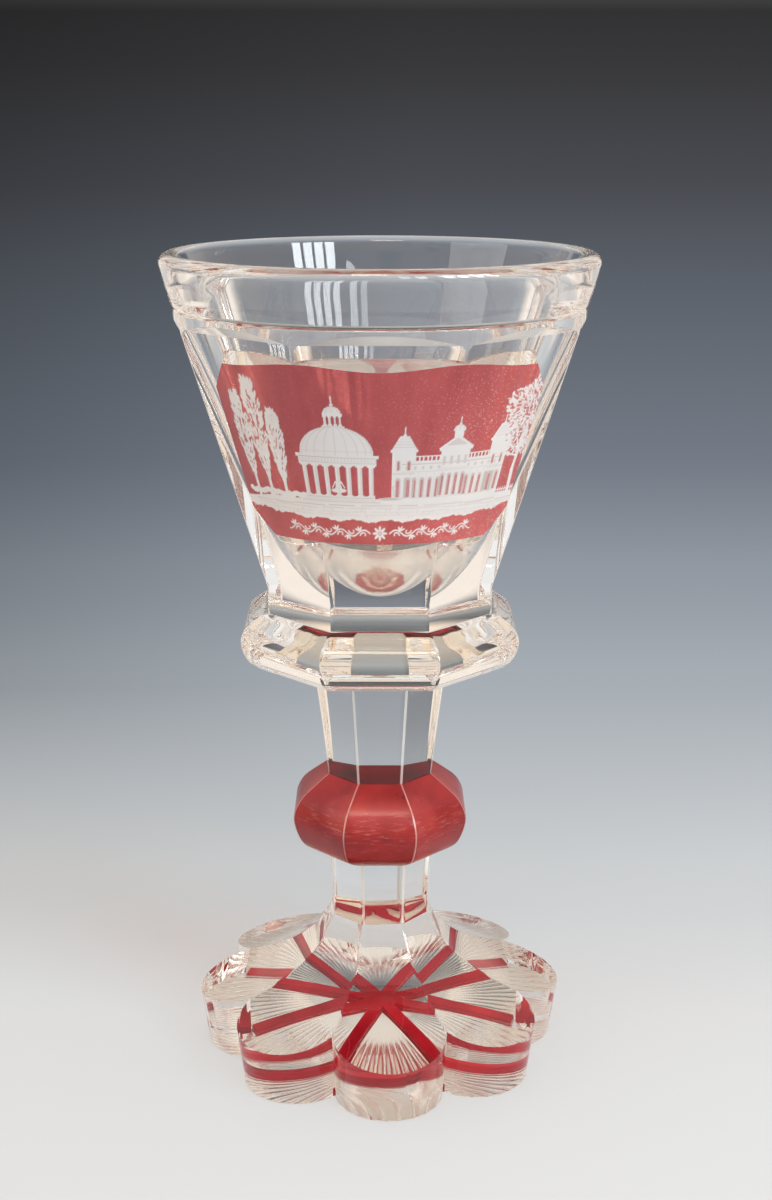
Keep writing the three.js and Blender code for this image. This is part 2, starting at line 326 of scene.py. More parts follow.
class Nodes:
    """Short forms for making shader nodes."""

    def __init__(self, tree: bpy.types.NodeTree) -> None:
        """Keeps the tree that nodes are added to."""
        self.tree = tree

    @staticmethod
    def start(owner: Material | bpy.types.World) -> "Nodes":
        """Clears the nodes of a material or a world."""
        owner.use_nodes = True
        owner.node_tree.nodes.clear()
        return Nodes(owner.node_tree)

    def put(self, socket: Socket, value: object) -> None:
        """Sets an input to a value, or links it to an output."""
        if isinstance(value, Socket):
            self.tree.links.new(value, socket)
        else:
            socket.default_value = (*value, 1.0) if socket.type == "RGBA" else value

    def add(self, kind: str, *inputs: object, **values: object) -> bpy.types.Node:
        """Adds a node.

        Args:
            kind: the node's type, without the words ShaderNode.
            *inputs: values or outputs for its first inputs.
            **values: its properties, and values or outputs for inputs by name, with _ for a space.

        Returns:
            The new node.
        """
        node = self.tree.nodes.new(f"ShaderNode{kind}")
        for key, value in values.items():
            if hasattr(node, key):
                setattr(node, key, value)
            else:
                self.put(node.inputs[key.replace("_", " ")], value)
        for socket, value in zip(node.inputs, inputs):
            self.put(socket, value)
        return node

    def first(self, kind: str, *inputs: object, **values: object) -> Socket:
        """Adds a node like add and returns its first output."""
        return self.add(kind, *inputs, **values).outputs[0]

    def math(self, operation: str, *inputs: object, clamp: bool = False) -> Socket:
        """Adds a Math node and returns its output."""
        return self.first("Math", *inputs, operation=operation, use_clamp=clamp)

    def above(self, value: object, level: object, slope: float) -> Socket:
        """Returns how far a value is above a level, times a slope, kept from 0 to 1."""
        return self.math("MULTIPLY", self.math("SUBTRACT", value, level), slope, clamp=True)

    def mix(self, share: object, a: object, b: object, blend: str = "MIX") -> Socket:
        """Mixes two colours and returns the result."""
        node = self.add("Mix", data_type="RGBA", blend_type=blend, Factor=share, A=a, B=b)
        return node.outputs["Result"]

    def noise(self, where: Socket, scale: object, detail: float, roughness: float) -> Socket:
        """Returns a noise at a place, from 0 to 1."""
        return self.first("TexNoise", Vector=where, Scale=scale, Detail=detail,
                          Roughness=roughness)

    def ramp(self, share: Socket, stops: list[tuple[float, Colour]]) -> Socket:
        """Returns the colour that a list of positions and colours has at a share."""
        node = self.add("ValToRGB", share)
        elements = node.color_ramp.elements
        for i, (position, colour) in enumerate(stops):
            stop = elements[i] if i < 2 else elements.new(position)
            stop.position = position
            stop.color = (*colour, 1.0)
        return node.outputs[0]

    def glass_output(self, surface: Socket) -> None:
        """Ends a glass material with its surface and the tint that it has in its depth."""
        absorb = self.first("VolumeAbsorption", Color=TINT, Density=TINT_DENSITY)
        self.add("OutputMaterial", Surface=surface, Volume=absorb)


class Effects:
    """Shader node groups that more than one finish uses."""

    def __init__(self) -> None:
        """Builds the groups."""
        self.polish = self._group("hand polish", self._polish,
                                  {"Wave Size": 90.0, "Scratch Size": 900.0})
        self.stain = self._group("stain depth", self._stain,
                                 {"Cloud Size": 60.0, "Speck Size": 2300.0})
        self.cloud = self._group("cloudy bottom", self._cloud,
                                 {"Reach": 0.0225, "Height": 0.1365})

    @staticmethod
    def _group(name: str, draw: Callable[..., dict[str, Socket]],
               inputs: dict[str, float]) -> bpy.types.NodeTree:
        """Makes a node group.

        Args:
            name: the group's name.
            draw: takes the nodes, the place on the object and the inputs, and gives the outputs.
            inputs: the names of the inputs and their values.

        Returns:
            The group.
        """
        tree = bpy.data.node_groups.new(name, "ShaderNodeTree")
        for label, value in inputs.items():
            tree.interface.new_socket(label, in_out="INPUT",
                                      socket_type="NodeSocketFloat").default_value = value
        n = Nodes(tree)
        given = tree.nodes.new("NodeGroupInput")
        made = draw(n, n.add("TexCoord").outputs["Object"], given.outputs)
        for label in made:
            tree.interface.new_socket(label, in_out="OUTPUT", socket_type="NodeSocketFloat")
        result = tree.nodes.new("NodeGroupOutput")
        for label, value in made.items():
            n.put(result.inputs[label], value)
        return tree

    @staticmethod
    def _polish(n: Nodes, place: Socket, given: Mapping[str, Socket]) -> dict[str, Socket]:
        """Hand-polished glass: slow waves from the wheel, and fine scratches from use."""
        along = n.first("Mapping", Vector=place, Scale=(1.0, 0.12, 1.0), Rotation=(0.3, 0.9, 0.5))
        scratches = n.noise(along, given["Scratch Size"], 3.0, 0.65)
        return {"Height": n.noise(place, given["Wave Size"], 1.0, 0.4),
                "Haze": n.above(scratches, 0.62, 4.0)}

    @staticmethod
    def _stain(n: Nodes, place: Socket, given: Mapping[str, Socket]) -> dict[str, Socket]:
        """Ruby stain: slow clouds of depth and fine pale specks where it has worn."""
        upright = n.first("Mapping", Vector=place, Scale=(1.0, 1.0, 0.10))
        noises = {"Depth": n.noise(place, given["Cloud Size"], 3.0, 0.5),
                  "Streaks": n.noise(upright, 260.0, 2.0, 0.6)}
        made = {name: n.math("MULTIPLY_ADD", noise, 2.4, -0.7, clamp=True)
                for name, noise in noises.items()}
        made["Specks"] = n.above(n.noise(place, given["Speck Size"], 2.0, 0.7), 0.575, 9.0)
        return made

    @staticmethod
    def _cloud(n: Nodes, place: Socket, given: Mapping[str, Socket]) -> dict[str, Socket]:
        """The cloudy patch that use leaves at the bottom of the hollow."""
        x, y, z = n.add("SeparateXYZ", place).outputs
        across = n.add("VectorMath", n.first("CombineXYZ", x, y), operation="LENGTH")
        near = n.above(given["Reach"], across.outputs["Value"], 500.0)
        return {"Cloud": n.math("MULTIPLY", near, n.above(given["Height"], z, 90.0))}


@dataclass(frozen=True)
class GlassFinish:
    """Polished glass, clear or stained.

    Attributes:
        name: the material's name.
        deep: colour where the stain is deepest.
        light: colour where it is thinnest.
        inside: colour of reflections inside the glass, from the stained skin.
        transmission: share of light that passes through.
        roughness: roughness of the polish.
        wave_height: height of the wheel's waves, in metres.
        shadow: colour of the light that falls through onto the table.
        skin_index: refractive index at the outer faces, near 1 where they lie in glass.
        specular: strength of the reflections at the outer faces.
        cloud_size: how small the clouds in the stain are.
        haze: how much roughness the scratches add.
        cloudy: how cloudy the bottom of the hollow is from use.
        cloudy_roughness: how rough it is there.
        chalk: its colour there.
        brushed: how pale the brush marks in the stain are.
        brush_mark: the marks' colour.
        brush_size: how small the marks are.
        brush_level: the noise above which there are marks, and how sharply they begin.
        belt: the height of the belt that carries the marks, in metres, how fast they fade away
            from it, and how strong they are in it.
    """

    name: str
    deep: Colour = WHITE
    light: Colour = (0.985, 0.98, 0.97)
    inside: Colour = WHITE
    transmission: float = 1.0
    roughness: float = 0.0
    wave_height: float = 0.00001
    shadow: Colour = (0.93, 0.91, 0.89)
    skin_index: float = GLASS_INDEX
    specular: float = 0.5
    cloud_size: float = 60.0
    haze: float = 0.05
    cloudy: float = 0.0
    cloudy_roughness: float = 0.14
    chalk: Colour = (0.88, 0.87, 0.86)
    brushed: float = 0.0
    brush_mark: Colour = (0.85, 0.50, 0.45)
    brush_size: float = 2200.0
    brush_level: Point = (0.54, 6.0)
    belt: tuple[float, float, float] = (0.0600, -220.0, 1.3)

    def _brush_marks(self, n: Nodes, base: Socket) -> Socket:
        """Lays pale marks of the polishing brush around the stain.

        Args:
            n: the nodes to add to.
            base: the stain's colour.

        Returns:
            The colour with the marks.
        """
        place = n.add("TexCoord").outputs["Object"]
        around = n.first("Mapping", Vector=place, Scale=(0.14, 0.14, 1.0),
                         Rotation=(0.05, 0.03, 0.0))
        marks = n.above(n.noise(around, self.brush_size, 4.0, 0.7), *self.brush_level)
        height, fade, strength = self.belt
        away = n.math("SUBTRACT", n.add("SeparateXYZ", place).outputs["Z"], height)
        belt = n.math("MULTIPLY_ADD", n.math("ABSOLUTE", away), fade, strength, clamp=True)
        share = n.math("MULTIPLY", n.math("MULTIPLY", marks, belt), self.brushed)
        return n.mix(share, base, self.brush_mark)

    def build(self, effects: Effects) -> Material:
        """Makes the material.

        Args:
            effects: the shared shader groups.

        Returns:
            The new material.
        """
        material = bpy.data.materials.new(self.name)
        n = Nodes.start(material)
        polish = n.add("Group", node_tree=effects.polish).outputs
        stain = n.first("Group", node_tree=effects.stain, Cloud_Size=self.cloud_size)
        base = n.mix(stain, self.deep, self.light)
        if self.brushed:
            base = self._brush_marks(n, base)
        outer = n.math("MULTIPLY_ADD", polish["Haze"], self.haze, self.roughness)
        inner = self.roughness
        if self.cloudy:
            mark = n.first("Group", node_tree=effects.cloud)
            inner = n.math("MULTIPLY", mark, self.cloudy_roughness)
            outer = n.math("ADD", outer, inner)
        bump = n.first("Bump", Strength=1.0, Distance=self.wave_height, Height=polish["Height"])
        front = n.first("BsdfPrincipled", IOR=self.skin_index, Metallic=0.0,
                        Transmission_Weight=self.transmission, Specular_IOR_Level=self.specular,
                        Base_Color=base, Roughness=outer, Normal=bump)
        back = n.first("BsdfGlass", IOR=GLASS_INDEX, Color=self.inside, Roughness=inner)
        if self.cloudy:
            chalk = n.first("BsdfDiffuse", Color=self.chalk)
            share = n.math("MULTIPLY", mark, self.cloudy)
            front, back = (n.first("MixShader", share, glass, chalk) for glass in (front, back))
        sides = n.first("MixShader", n.add("NewGeometry").outputs["Backfacing"], front, back)
        path = n.add("LightPath").outputs
        passing = n.math("MAXIMUM", path["Is Shadow Ray"], path["Is Diffuse Ray"])
        clear = n.first("BsdfTransparent", Color=self.shadow)
        n.glass_output(n.first("MixShader", passing, sides, clear))
        return material


@dataclass(frozen=True)
class JointFinish:
    """The faces along which two pieces of glass are fused: light passes straight through."""

    name: str = "fused_joint"

    def build(self) -> Material:
        """Makes the material."""
        material = bpy.data.materials.new(self.name)
        n = Nodes.start(material)
        n.glass_output(n.first("BsdfTransparent", Color=WHITE))
        return material


@dataclass(frozen=True)
class EngravedFinish:
    """Ruby stain with a frosted engraving ground through it.

    Attributes:
        name: the material's name.
        deep: colour where the stain is deepest.
        light: colour where it is thinnest.
        speck: colour of the specks where it has worn.
        frost: colour of the frosted glass.
        line: colour of the fine lines in it.
        transmission: share of light that passes through.
        specular: strength of the reflections.
        polish_roughness: roughness of the stained glass.
        frost_roughness: how much rougher the frosted glass is.
        streaks: how much the streaks change the stain's depth.
        clouds: how much the clouds change it.
        wear: how much the wear makes it lighter.
        wave_height: height of the wheel's waves, in metres.
    """

    name: str = "engraved_ruby"
    deep: Colour = (0.37, 0.026, 0.035)
    light: Colour = (0.65, 0.088, 0.092)
    speck: Colour = (0.80, 0.42, 0.38)
    frost: Colour = (0.85, 0.87, 0.89)
    line: Colour = (0.50, 0.44, 0.43)
    transmission: float = 0.5
    specular: float = 0.36
    polish_roughness: float = 0.08
    frost_roughness: float = 0.42
    streaks: float = 0.30
    clouds: float = 0.35
    wear: float = 0.35
    wave_height: float = 0.00001

    def build(self, effects: Effects) -> Material:
        """Makes the material.

        Args:
            effects: the shared shader groups.

        Returns:
            The new material.
        """
        material = bpy.data.materials.new(self.name)
        n = Nodes.start(material)
        polish = n.add("Group", node_tree=effects.polish).outputs
        stain = n.add("Group", node_tree=effects.stain).outputs
        cut, lines, worn = (n.add("Attribute", attribute_name=name).outputs["Fac"]
                            for name in LAYERS)
        depth = n.math("MULTIPLY_ADD", stain["Streaks"], self.streaks,
                       n.math("MULTIPLY", stain["Depth"], self.clouds))
        depth = n.math("MULTIPLY_ADD", worn, self.wear, depth, clamp=True)
        ground = n.mix(depth, self.deep, self.light)
        specked = n.mix(n.math("MULTIPLY", stain["Specks"], worn), ground, self.speck)
        picture = n.mix(cut, specked, n.mix(lines, self.frost, self.line))
        rough = n.math("MULTIPLY_ADD", cut, self.frost_roughness, self.polish_roughness)
        bump = n.first("Bump", Strength=1.0, Distance=self.wave_height, Height=polish["Height"])
        n.glass_output(n.first(
            "BsdfPrincipled", IOR=GLASS_INDEX, Metallic=0.0, Transmission_Weight=self.transmission,
            Specular_IOR_Level=self.specular, Base_Color=picture, Roughness=rough, Normal=bump))
        return material


@dataclass(frozen=True)
class Finishes:
    """All finishes of the goblet."""

    clear: Material
    ruby: Material
    knop: Material
    worn: Material
    bowl: Material
    ground: Material
    edge: Material
    engraved: Material
    joint: Material

    @staticmethod
    def make() -> "Finishes":
        """Builds the shared effects and the materials."""
        effects = Effects()
        red_shadow = (0.80, 0.52, 0.50)
        finishes = {
            "clear": GlassFinish("clear_glass"),
            "ruby": GlassFinish(
                "ruby_glass", deep=(0.27, 0.003, 0.012), light=(0.58, 0.020, 0.038),
                inside=(0.60, 0.030, 0.045), transmission=0.30, roughness=0.12,
                shadow=red_shadow, skin_index=1.04),
            "knop": GlassFinish(
                "ruby_knop_glass", deep=(0.24, 0.005, 0.009), light=(0.49, 0.024, 0.023),
                inside=(0.50, 0.016, 0.024), transmission=0.50, roughness=0.24,
                shadow=red_shadow, specular=0.26, cloud_size=90.0, brushed=0.26),
            "worn": GlassFinish(
                "worn_ruby_glass", deep=(0.52, 0.16, 0.15), light=(0.74, 0.42, 0.38),
                inside=(0.60, 0.05, 0.05), transmission=0.50, roughness=0.30,
                shadow=red_shadow),
            "bowl": GlassFinish("bowl_glass", wave_height=0.00003, cloudy=0.24),
            "ground": GlassFinish(
                "ground_glass", deep=(0.93, 0.89, 0.82), light=(0.99, 0.97, 0.93),
                inside=(0.98, 0.95, 0.90), transmission=0.64, roughness=0.12,
                shadow=(0.99, 0.98, 0.96)),
            "edge": GlassFinish(
                "cut_edge_glass", deep=(0.93, 0.90, 0.85), light=(0.98, 0.96, 0.93),
                inside=(0.98, 0.96, 0.93), transmission=0.88, roughness=0.05),
            "engraved": EngravedFinish(),
        }
        built = {name: finish.build(effects) for name, finish in finishes.items()}
        return Finishes(joint=JointFinish().build(), **built)


@dataclass
class Bowl:
    """The bowl: octagonal outside, round inside, with a plain round band under the lip."""

    finishes: Finishes
    neck_radius: float = 27.3
    taper_start: float = 116.2
    taper: float = 0.3215
    facet_end: float = 174.6
    run_out: Point = (50.4, 177.6)
    clear_radius: float = 53.5
    land_radius: float = 45.6
    shoulder: float = 178.2
    step: tuple[Point, ...] = ((0.35, 0.7), (-0.1, 0.35), (-0.4, 0.0), (-0.1, -0.35), (0.0, -0.6))
    band: Point = (48.0, 185.3)
    lip_radius: float = 2.2
    rim_radius: float = 48.45
    cavity_bottom: float = 116.0
    cavity_spread: float = 23.5
    parabola_radius: float = 24.0
    parabola_steps: int = 24
    round_steps: int = 192
    beyond: float = 5.0

    def corner(self, height: float) -> float:
        """Returns the radius of the bowl's corners at a height."""
        return self.neck_radius + self.taper * (height - self.taper_start)

    def _shell(self) -> Solid:
        """Turns the round outer form together with the hollow."""
        profile = [(0.0, self.cavity_bottom)]
        for i in range(1, self.parabola_steps + 1):
            radius = self.parabola_radius * i / self.parabola_steps
            profile.append((radius, self.cavity_bottom + radius ** 2 / self.cavity_spread))
        for degrees in range(157, -18, -8):
            angle = math.radians(degrees)
            profile.append((
                self.rim_radius - self.lip_radius + self.lip_radius * math.cos(angle),
                LEVEL.top - self.lip_radius + self.lip_radius * math.sin(angle)))
        base = LEVEL.bowl_bottom - self.beyond
        profile += [
            self.band,
            *((self.land_radius + out, self.shoulder + up) for out, up in self.step),
            (self.land_radius, base), (0.0, base),
        ]
        return Form.turned(profile, self.round_steps)

    def build(self, recess: Solid) -> None:
        """Makes the bowl and lets the view panel into the given recess."""
        octagon = Form.octagon([
            (self.neck_radius, LEVEL.bowl_bottom + JOINT_GAP / 2),
            (self.neck_radius, self.taper_start),
            (self.corner(self.facet_end), self.facet_end),
            self.run_out,
            (self.clear_radius, self.shoulder),
            (self.clear_radius, LEVEL.top + self.beyond),
        ], joints=(True, False))
        body = Form.combine(octagon, self._shell(), "INTERSECT")
        body = Form.combine(body, recess, "DIFFERENCE")
        Form.piece("bowl_glass", body, [self.finishes.bowl, self.finishes.joint,
                                        self.finishes.bowl], Slot.CLEAR, ["bowl"])


@dataclass
class Raster:
    """Cells in millimetres on which the wheel's cuts are drawn.

    Each cut moves the cells that it covers towards its value, from 0 to 1.

    Attributes:
        left: lowest place across the panel.
        bottom: lowest height.
        width: size across.
        height: size up.
        cell: size of one cell.
        origin: the place that cuts are measured from.
    """

    left: float = -37.0
    bottom: float = 130.5
    width: float = 74.0
    height: float = 42.0
    cell: float = 0.08
    origin: Point = (0.0, 0.0)

    def __post_init__(self) -> None:
        """Clears the cells."""
        self.across = self.left + (np.arange(round(self.width / self.cell)) + 0.5) * self.cell
        self.up = self.bottom + (np.arange(round(self.height / self.cell)) + 0.5) * self.cell
        self.cells = np.zeros((len(self.up), len(self.across)))

    def _placed(self, points: list[Point]) -> list[Point]:
        """Returns where points lie that are measured from the origin."""
        return [(x + self.origin[0], y + self.origin[1]) for x, y in points]

    def _window(self, points: list[Point], reach: float) -> tuple:
        """Returns the slices of the cells around points, and their places."""
        xs, ys = zip(*points)
        margin = reach + 2 * self.cell
        i0, i1 = np.searchsorted(self.up, (min(ys) - margin, max(ys) + margin))
        j0, j1 = np.searchsorted(self.across, (min(xs) - margin, max(xs) + margin))
        return (slice(i0, i1), slice(j0, j1)), *np.meshgrid(self.across[j0:j1], self.up[i0:i1])

    def _lay(self, window: tuple, cover: np.ndarray, value: float) -> None:
        """Moves cells towards a value by how far they are covered."""
        self.cells[window] += (value - self.cells[window]) * np.clip(cover, 0.0, 1.0)

    def dab(self, x: float, y: float, rx: float, ry: float, angle: float = 0.0,
            value: float = 1.0) -> None:
        """Cuts one oval, as the edge of the wheel does.

        Args:
            x: its middle across.
            y: its middle height.
            rx: half its length along the angle.
            ry: half its width.
            angle: its direction in radians.
            value: the cut's value.
        """
        [(x, y)] = self._placed([(x, y)])
        window, xs, ys = self._window([(x, y)], max(rx, ry))
        u = (xs - x) * math.cos(angle) + (ys - y) * math.sin(angle)
        v = (ys - y) * math.cos(angle) - (xs - x) * math.sin(angle)
        inside = 1 - np.hypot(u / rx, v / ry)
        self._lay(window, inside * min(rx, ry) / self.cell + 0.5, value)

    def stroke(self, points: list[Point], width: float, value: float = 1.0,
               end_width: float | None = None) -> None:
        """Cuts a line through points, which may narrow towards its end.

        Args:
            points: places across and up.
            width: its width at the start.
            value: the cut's value.
            end_width: its width at the end, if it differs.
        """
        last = width if end_width is None else end_width
        count = len(points) - 1
        points = self._placed(points)
        for i, ((x0, y0), (x1, y1)) in enumerate(zip(points, points[1:])):
            half = (width + (last - width) * (i + 0.5) / count) / 2
            window, xs, ys = self._window([(x0, y0), (x1, y1)], half)
            dx, dy = x1 - x0, y1 - y0
            t = np.clip(((xs - x0) * dx + (ys - y0) * dy) / (dx * dx + dy * dy + 1e-9), 0, 1)
            away = np.hypot(xs - x0 - t * dx, ys - y0 - t * dy)
            self._lay(window, (half - away) / self.cell + 0.5, value)

    def area(self, points: list[Point], value: float = 1.0) -> None:
        """Cuts an area inside a closed outline."""
        points = self._placed(points)
        window, xs, ys = self._window(points, 0.0)
        inside = np.zeros(xs.shape, dtype=bool)
        for (x0, y0), (x1, y1) in zip(points, [*points[1:], points[0]]):
            if y0 != y1:
                crosses = (ys < y0) != (ys < y1)
                inside ^= crosses & (xs < x0 + (ys - y0) * (x1 - x0) / (y1 - y0))
        self._lay(window, inside.astype(float), value)

    def block(self, x: float, half: float, y0: float, y1: float, value: float = 1.0) -> None:
        """Cuts a rectangle from one height to another, to both sides of a place across."""
        self.area([(x - half, y0), (x + half, y0), (x + half, y1), (x - half, y1)], value)

    def level(self, half: float, y: float, width: float, value: float) -> None:
        """Cuts a level line to both sides of the origin."""
        self.stroke([(-half, y), (half, y)], width, value)

    def upright(self, x: float, y0: float, y1: float, width: float, value: float = 1.0) -> None:
        """Cuts an upright line."""
        self.stroke([(x, y0), (x, y1)], width, value)

    def sample(self, xs: np.ndarray, ys: np.ndarray) -> np.ndarray:
        """Reads the values at places, smoothly between the cells."""
        cells = self.cells
        u = np.clip((xs - self.left) / self.cell - 0.5, 0, cells.shape[1] - 1.001)
        v = np.clip((ys - self.bottom) / self.cell - 0.5, 0, cells.shape[0] - 1.001)
        j, i = u.astype(int), v.astype(int)
        fu, fv = u - j, v - i
        return ((cells[i, j] * (1 - fu) + cells[i, j + 1] * fu) * (1 - fv)
                + (cells[i + 1, j] * (1 - fu) + cells[i + 1, j + 1] * fu) * fv)


@dataclass
class SpaPark:
    """A made-up spa park: a round spring pavilion, an arcade, trees, and a scroll border.

    Attributes:
        seed: what the random draws start from.
        ground: height of the ground under the buildings.
        border: height of the border's middle.
        frost: the frosted parts.
        fine: the fine lines in them.
    """

    seed: int = 11
    ground: float = 141.2
    border: float = 134.1
    frost: Raster = field(default_factory=Raster)
    fine: Raster = field(default_factory=Raster)

    def __post_init__(self) -> None:
        """Draws the whole picture."""
        self.random = random.Random(self.seed)
        self._terrace()
        self._poplars()
        self._arcade()
        self._pavilion()
        self._fountain()
        self._broad_tree()
        self._border()

    def _start(self, x: float, y: float | None = None) -> tuple[Raster, Raster]:
        """Sets the origin, on the ground if no height is given, and returns both rasters."""
        self.frost.origin = self.fine.origin = (x, self.ground if y is None else y)
        return self.frost, self.fine

    def _terrace(self) -> None:
        """Draws the lawn and paths in front of the buildings, with a worn lower edge."""
        frost, fine = self._start(0.0)
        draw = self.random.uniform
        edge = [(-40.0, -1.6)]
        steps = 90
        for i in range(steps + 1):
            x = -40 + 80 * i / steps
            wave = 0.28 * math.sin(x * 0.8) + 0.16 * math.sin(x * 2.9 + 1) + draw(-0.08, 0.08)
            edge.append((x, -4.3 + 0.0012 * x * x + wave))
        frost.area([*edge, (40.0, -0.6), (30.0, 0.2), (-26.0, 0.2), (-33.0, -0.9)])
        for y, strength in ((-0.7, 0.75), (-1.3, 0.45), (-2.2, 0.3), (-2.9, 0.25)):
            x = -32.0
            while x < 32:
                reach = draw(3, 11)
                sag = 0.0007 * (x + reach / 2) ** 2
                fine.stroke([(x, y - sag), (x + reach, y - sag + draw(-.1, .1))], 0.2, strength)
                x += reach + draw(0.3, 1.6)
        for _ in range(70):
            x, y = draw(-31, 31), draw(-3.6, -1.6)
            fine.stroke([(x, y), (x + draw(-0.3, 0.3), y + 0.45)], 0.18, 0.4)
        for i in range(12):
            frost.upright(26.5 + i * 0.8, -0.6, 1.1, 0.3)
        frost.stroke([(26, 0.7), (36, 0.6)], 0.24)

    def _poplars(self) -> None:
        """Draws three slender trees on the left."""
        frost, _ = self._start(0.0)
        draw = self.random.uniform
        low = 2.2
        for x, top, width in ((-30.5, 22.3, 2.0), (-26.2, 25.8, 2.3), (-21.9, 19.3, 1.8)):
            frost.upright(x, -1, 5, 0.8)
            for _ in range(330):
                t = self.random.random()
                spread = width * math.sin(math.pi * min(1.0, 0.12 + 0.95 * (1 - t))) ** 0.7
                off = draw(-1, 1) * spread
                lean = math.pi / 2 - 0.35 * off / width
                frost.dab(x + off, low + t * (top - low), draw(0.5, 0.95), 0.2, lean)
            for _ in range(26):
                y = draw(low + 1, top - 4)
                off = draw(-0.75, 0.75) * width
                frost.dab(x + off, y, 0.42, 0.11, math.pi / 2 - 0.4 * off, 0.15)
        for i in range(26):
            frost.dab(-33 + i * 0.62, 0.4 + 0.8 * self.random.random(), 0.75, 0.6)

    def _columns(self, half: float, y0: float, y1: float, count: int, width: float) -> None:
        """Draws columns side by side, with a base and a capital each.

        Args:
            half: how far the outer columns stand from the origin.
            y0: the bottom.
            y1: the top.
            count: how many columns there are.
            width: how wide one is.
        """
        self.frost.block(0, half, y0, y1, 0.0)
        for i in range(count):
            x = -half + 2 * half * i / (count - 1)
            self.frost.block(x, width / 2, y0, y1)
            self.frost.block(x, width * 0.85, y1 - 0.35, y1)
            self.frost.block(x, width * 0.85, y0, y0 + 0.3)
            self.fine.upright(x + width * 0.18, y0 + 0.3, y1 - 0.4, 0.14, 0.6)

    def _half_dome(self, y: float, rx: float, ry: float, ribs: int) -> None:
        """Draws a dome with fine ribs."""
        self.frost.area([(rx * math.cos(math.pi * i / 24), y + ry * math.sin(math.pi * i / 24))
                         for i in range(25)])
        for k in range(1, ribs):
            lean = rx * math.cos(math.pi * k / ribs)
            self.fine.stroke([(lean * math.cos(math.pi / 2 * i / 8),
                               y + ry * math.sin(math.pi / 2 * i / 8)) for i in range(9)],
                             0.14, 0.55)

    def _finial(self, y: float, size: float) -> None:
        """Draws a ball and a spike on top of a roof."""
        self.frost.dab(0, y + 0.32 * size, 0.34 * size, 0.34 * size)
        self.frost.stroke([(0, y), (0, y + 2.2 * size)], 0.34 * size, end_width=0.14)

    def _pavilion(self) -> None:
        """Draws the round pavilion over the spring."""
        frost, fine = self._start(-9.0)
        for i in range(3):
            frost.block(0, 9.4 - 0.7 * i, 0.45 * i, 0.45 * (i + 1))
            fine.level(9 - 0.7 * i, 0.45 * i, 0.14, 0.7)
        self._columns(7.2, 1.35, 8.2, 7, 0.9)
        frost.dab(0, 2.6, 1.7, 0.5)
        frost.block(0, 0.35, 1.3, 2.7)
        for lean in (-0.9, -0.4, 0.0, 0.4, 0.9):
            frost.stroke([(0, 2.8), (lean * 0.7, 4.6), (lean * 1.5, 3.2)], 0.22)
        frost.block(0, 8.3, 8.2, 9.9)
        frost.block(0, 8.8, 9.9, 10.5)
        fine.level(8.2, 8.75, 0.15, 0.7)
        fine.level(8.2, 9.9, 0.15, 0.85)
        for i in range(24):
            fine.upright(-8.0 + i * 0.695, 9.1, 9.6, 0.16, 0.6)
        self._half_dome(10.5, 7.7, 6.3, 10)
        fine.level(7.4, 11.3, 0.14, 0.6)
        frost.block(0, 2.2, 16.1, 16.9)
        self._columns(1.5, 16.9, 19.1, 4, 0.42)
        frost.block(0, 1.95, 19.1, 19.6)
        self._half_dome(19.6, 1.7, 1.5, 4)
        self._finial(21.0, 1.0)

    def _arch(self, x: float, y: float, half: float, tall: float) -> None:
        """Draws one arch of the arcade: a shaded opening with a pale frame."""
        outline = [(x - half, y), (x + half, y)]
        outline += [(x + half * math.cos(math.pi * i / 10),
                     y + tall + half * math.sin(math.pi * i / 10)) for i in range(11)]
        self.fine.area(outline, 0.8)
        self.frost.area([(u * 0.62 + x * 0.38, v * 0.9 + y * 0.1) for u, v in outline], 0.2)

    def _arcade(self) -> None:
        """Draws the long arcade on the right with its middle gable and end pavilions."""
        frost, fine = self._start(16.0)
        frost.block(0, 11.5, 0, 8.6)
        frost.block(0, 11.9, 8.6, 9.3)
        for y, strength in ((1.0, 0.5), (6.9, 0.55), (8.55, 0.85)):
            fine.level(11.4, y, 0.15, strength)
        for i in range(13):
            x = -10.4 + i * 1.72
            if abs(x + 0.1) > 2.4:
                self._arch(x, 1.1, 0.5, 4.0)
                fine.upright(x + 0.86, 1.1, 6.8, 0.14, 0.35)
                fine.block(x, 0.3, 7.3, 8.1, 0.55)
        for i in range(27):
            frost.block(-11.4 + i * 0.88, 0.13, 9.2, 10.2)
        frost.block(0, 11.8, 10.1, 10.45)
        self._start(15.9)
        frost.block(0, 3.3, 0, 11.2)
        frost.block(0, 3.7, 11.2, 11.8)
        frost.area([(-3.9, 11.8), (3.9, 11.8), (0, 14.6)])
        fine.area([(-2.3, 12.3), (2.3, 12.3), (0, 13.9)], 0.5)
        for x in (-2.4, -0.8, 0.8, 2.4):
            self._arch(x, 1.2, 0.48, 4.6)
            fine.block(x, 0.3, 8.0, 10.0, 0.6)
        fine.level(3.2, 7.3, 0.16, 0.6)
        frost.block(0, 1.0, 14.0, 15.6)
        self._half_dome(15.5, 1.3, 1.3, 4)
        self._finial(16.7, 0.8)
        for x, tall in ((4.9, 11.2), (26.6, 12.4)):
            self._start(x)
            eaves = tall + 0.55
            frost.block(0, 2.4, 0, tall)
            frost.block(0, 2.8, tall, eaves)
            frost.area([(-2.6, eaves), (2.6, eaves), (0.9, tall + 3.6), (-0.9, tall + 3.6)])
            for k in range(1, 5):
                fine.level(2.5 - k * 0.3, eaves + k * 0.6, 0.13, 0.5)
            self._finial(tall + 3.5, 0.9)
            for side in (-1.1, 1.1):
                self._arch(side, 1.2, 0.55, 3.8)
                self._arch(side, 7.2, 0.4, 1.9)
            fine.level(2.3, 6.5, 0.15, 0.7)

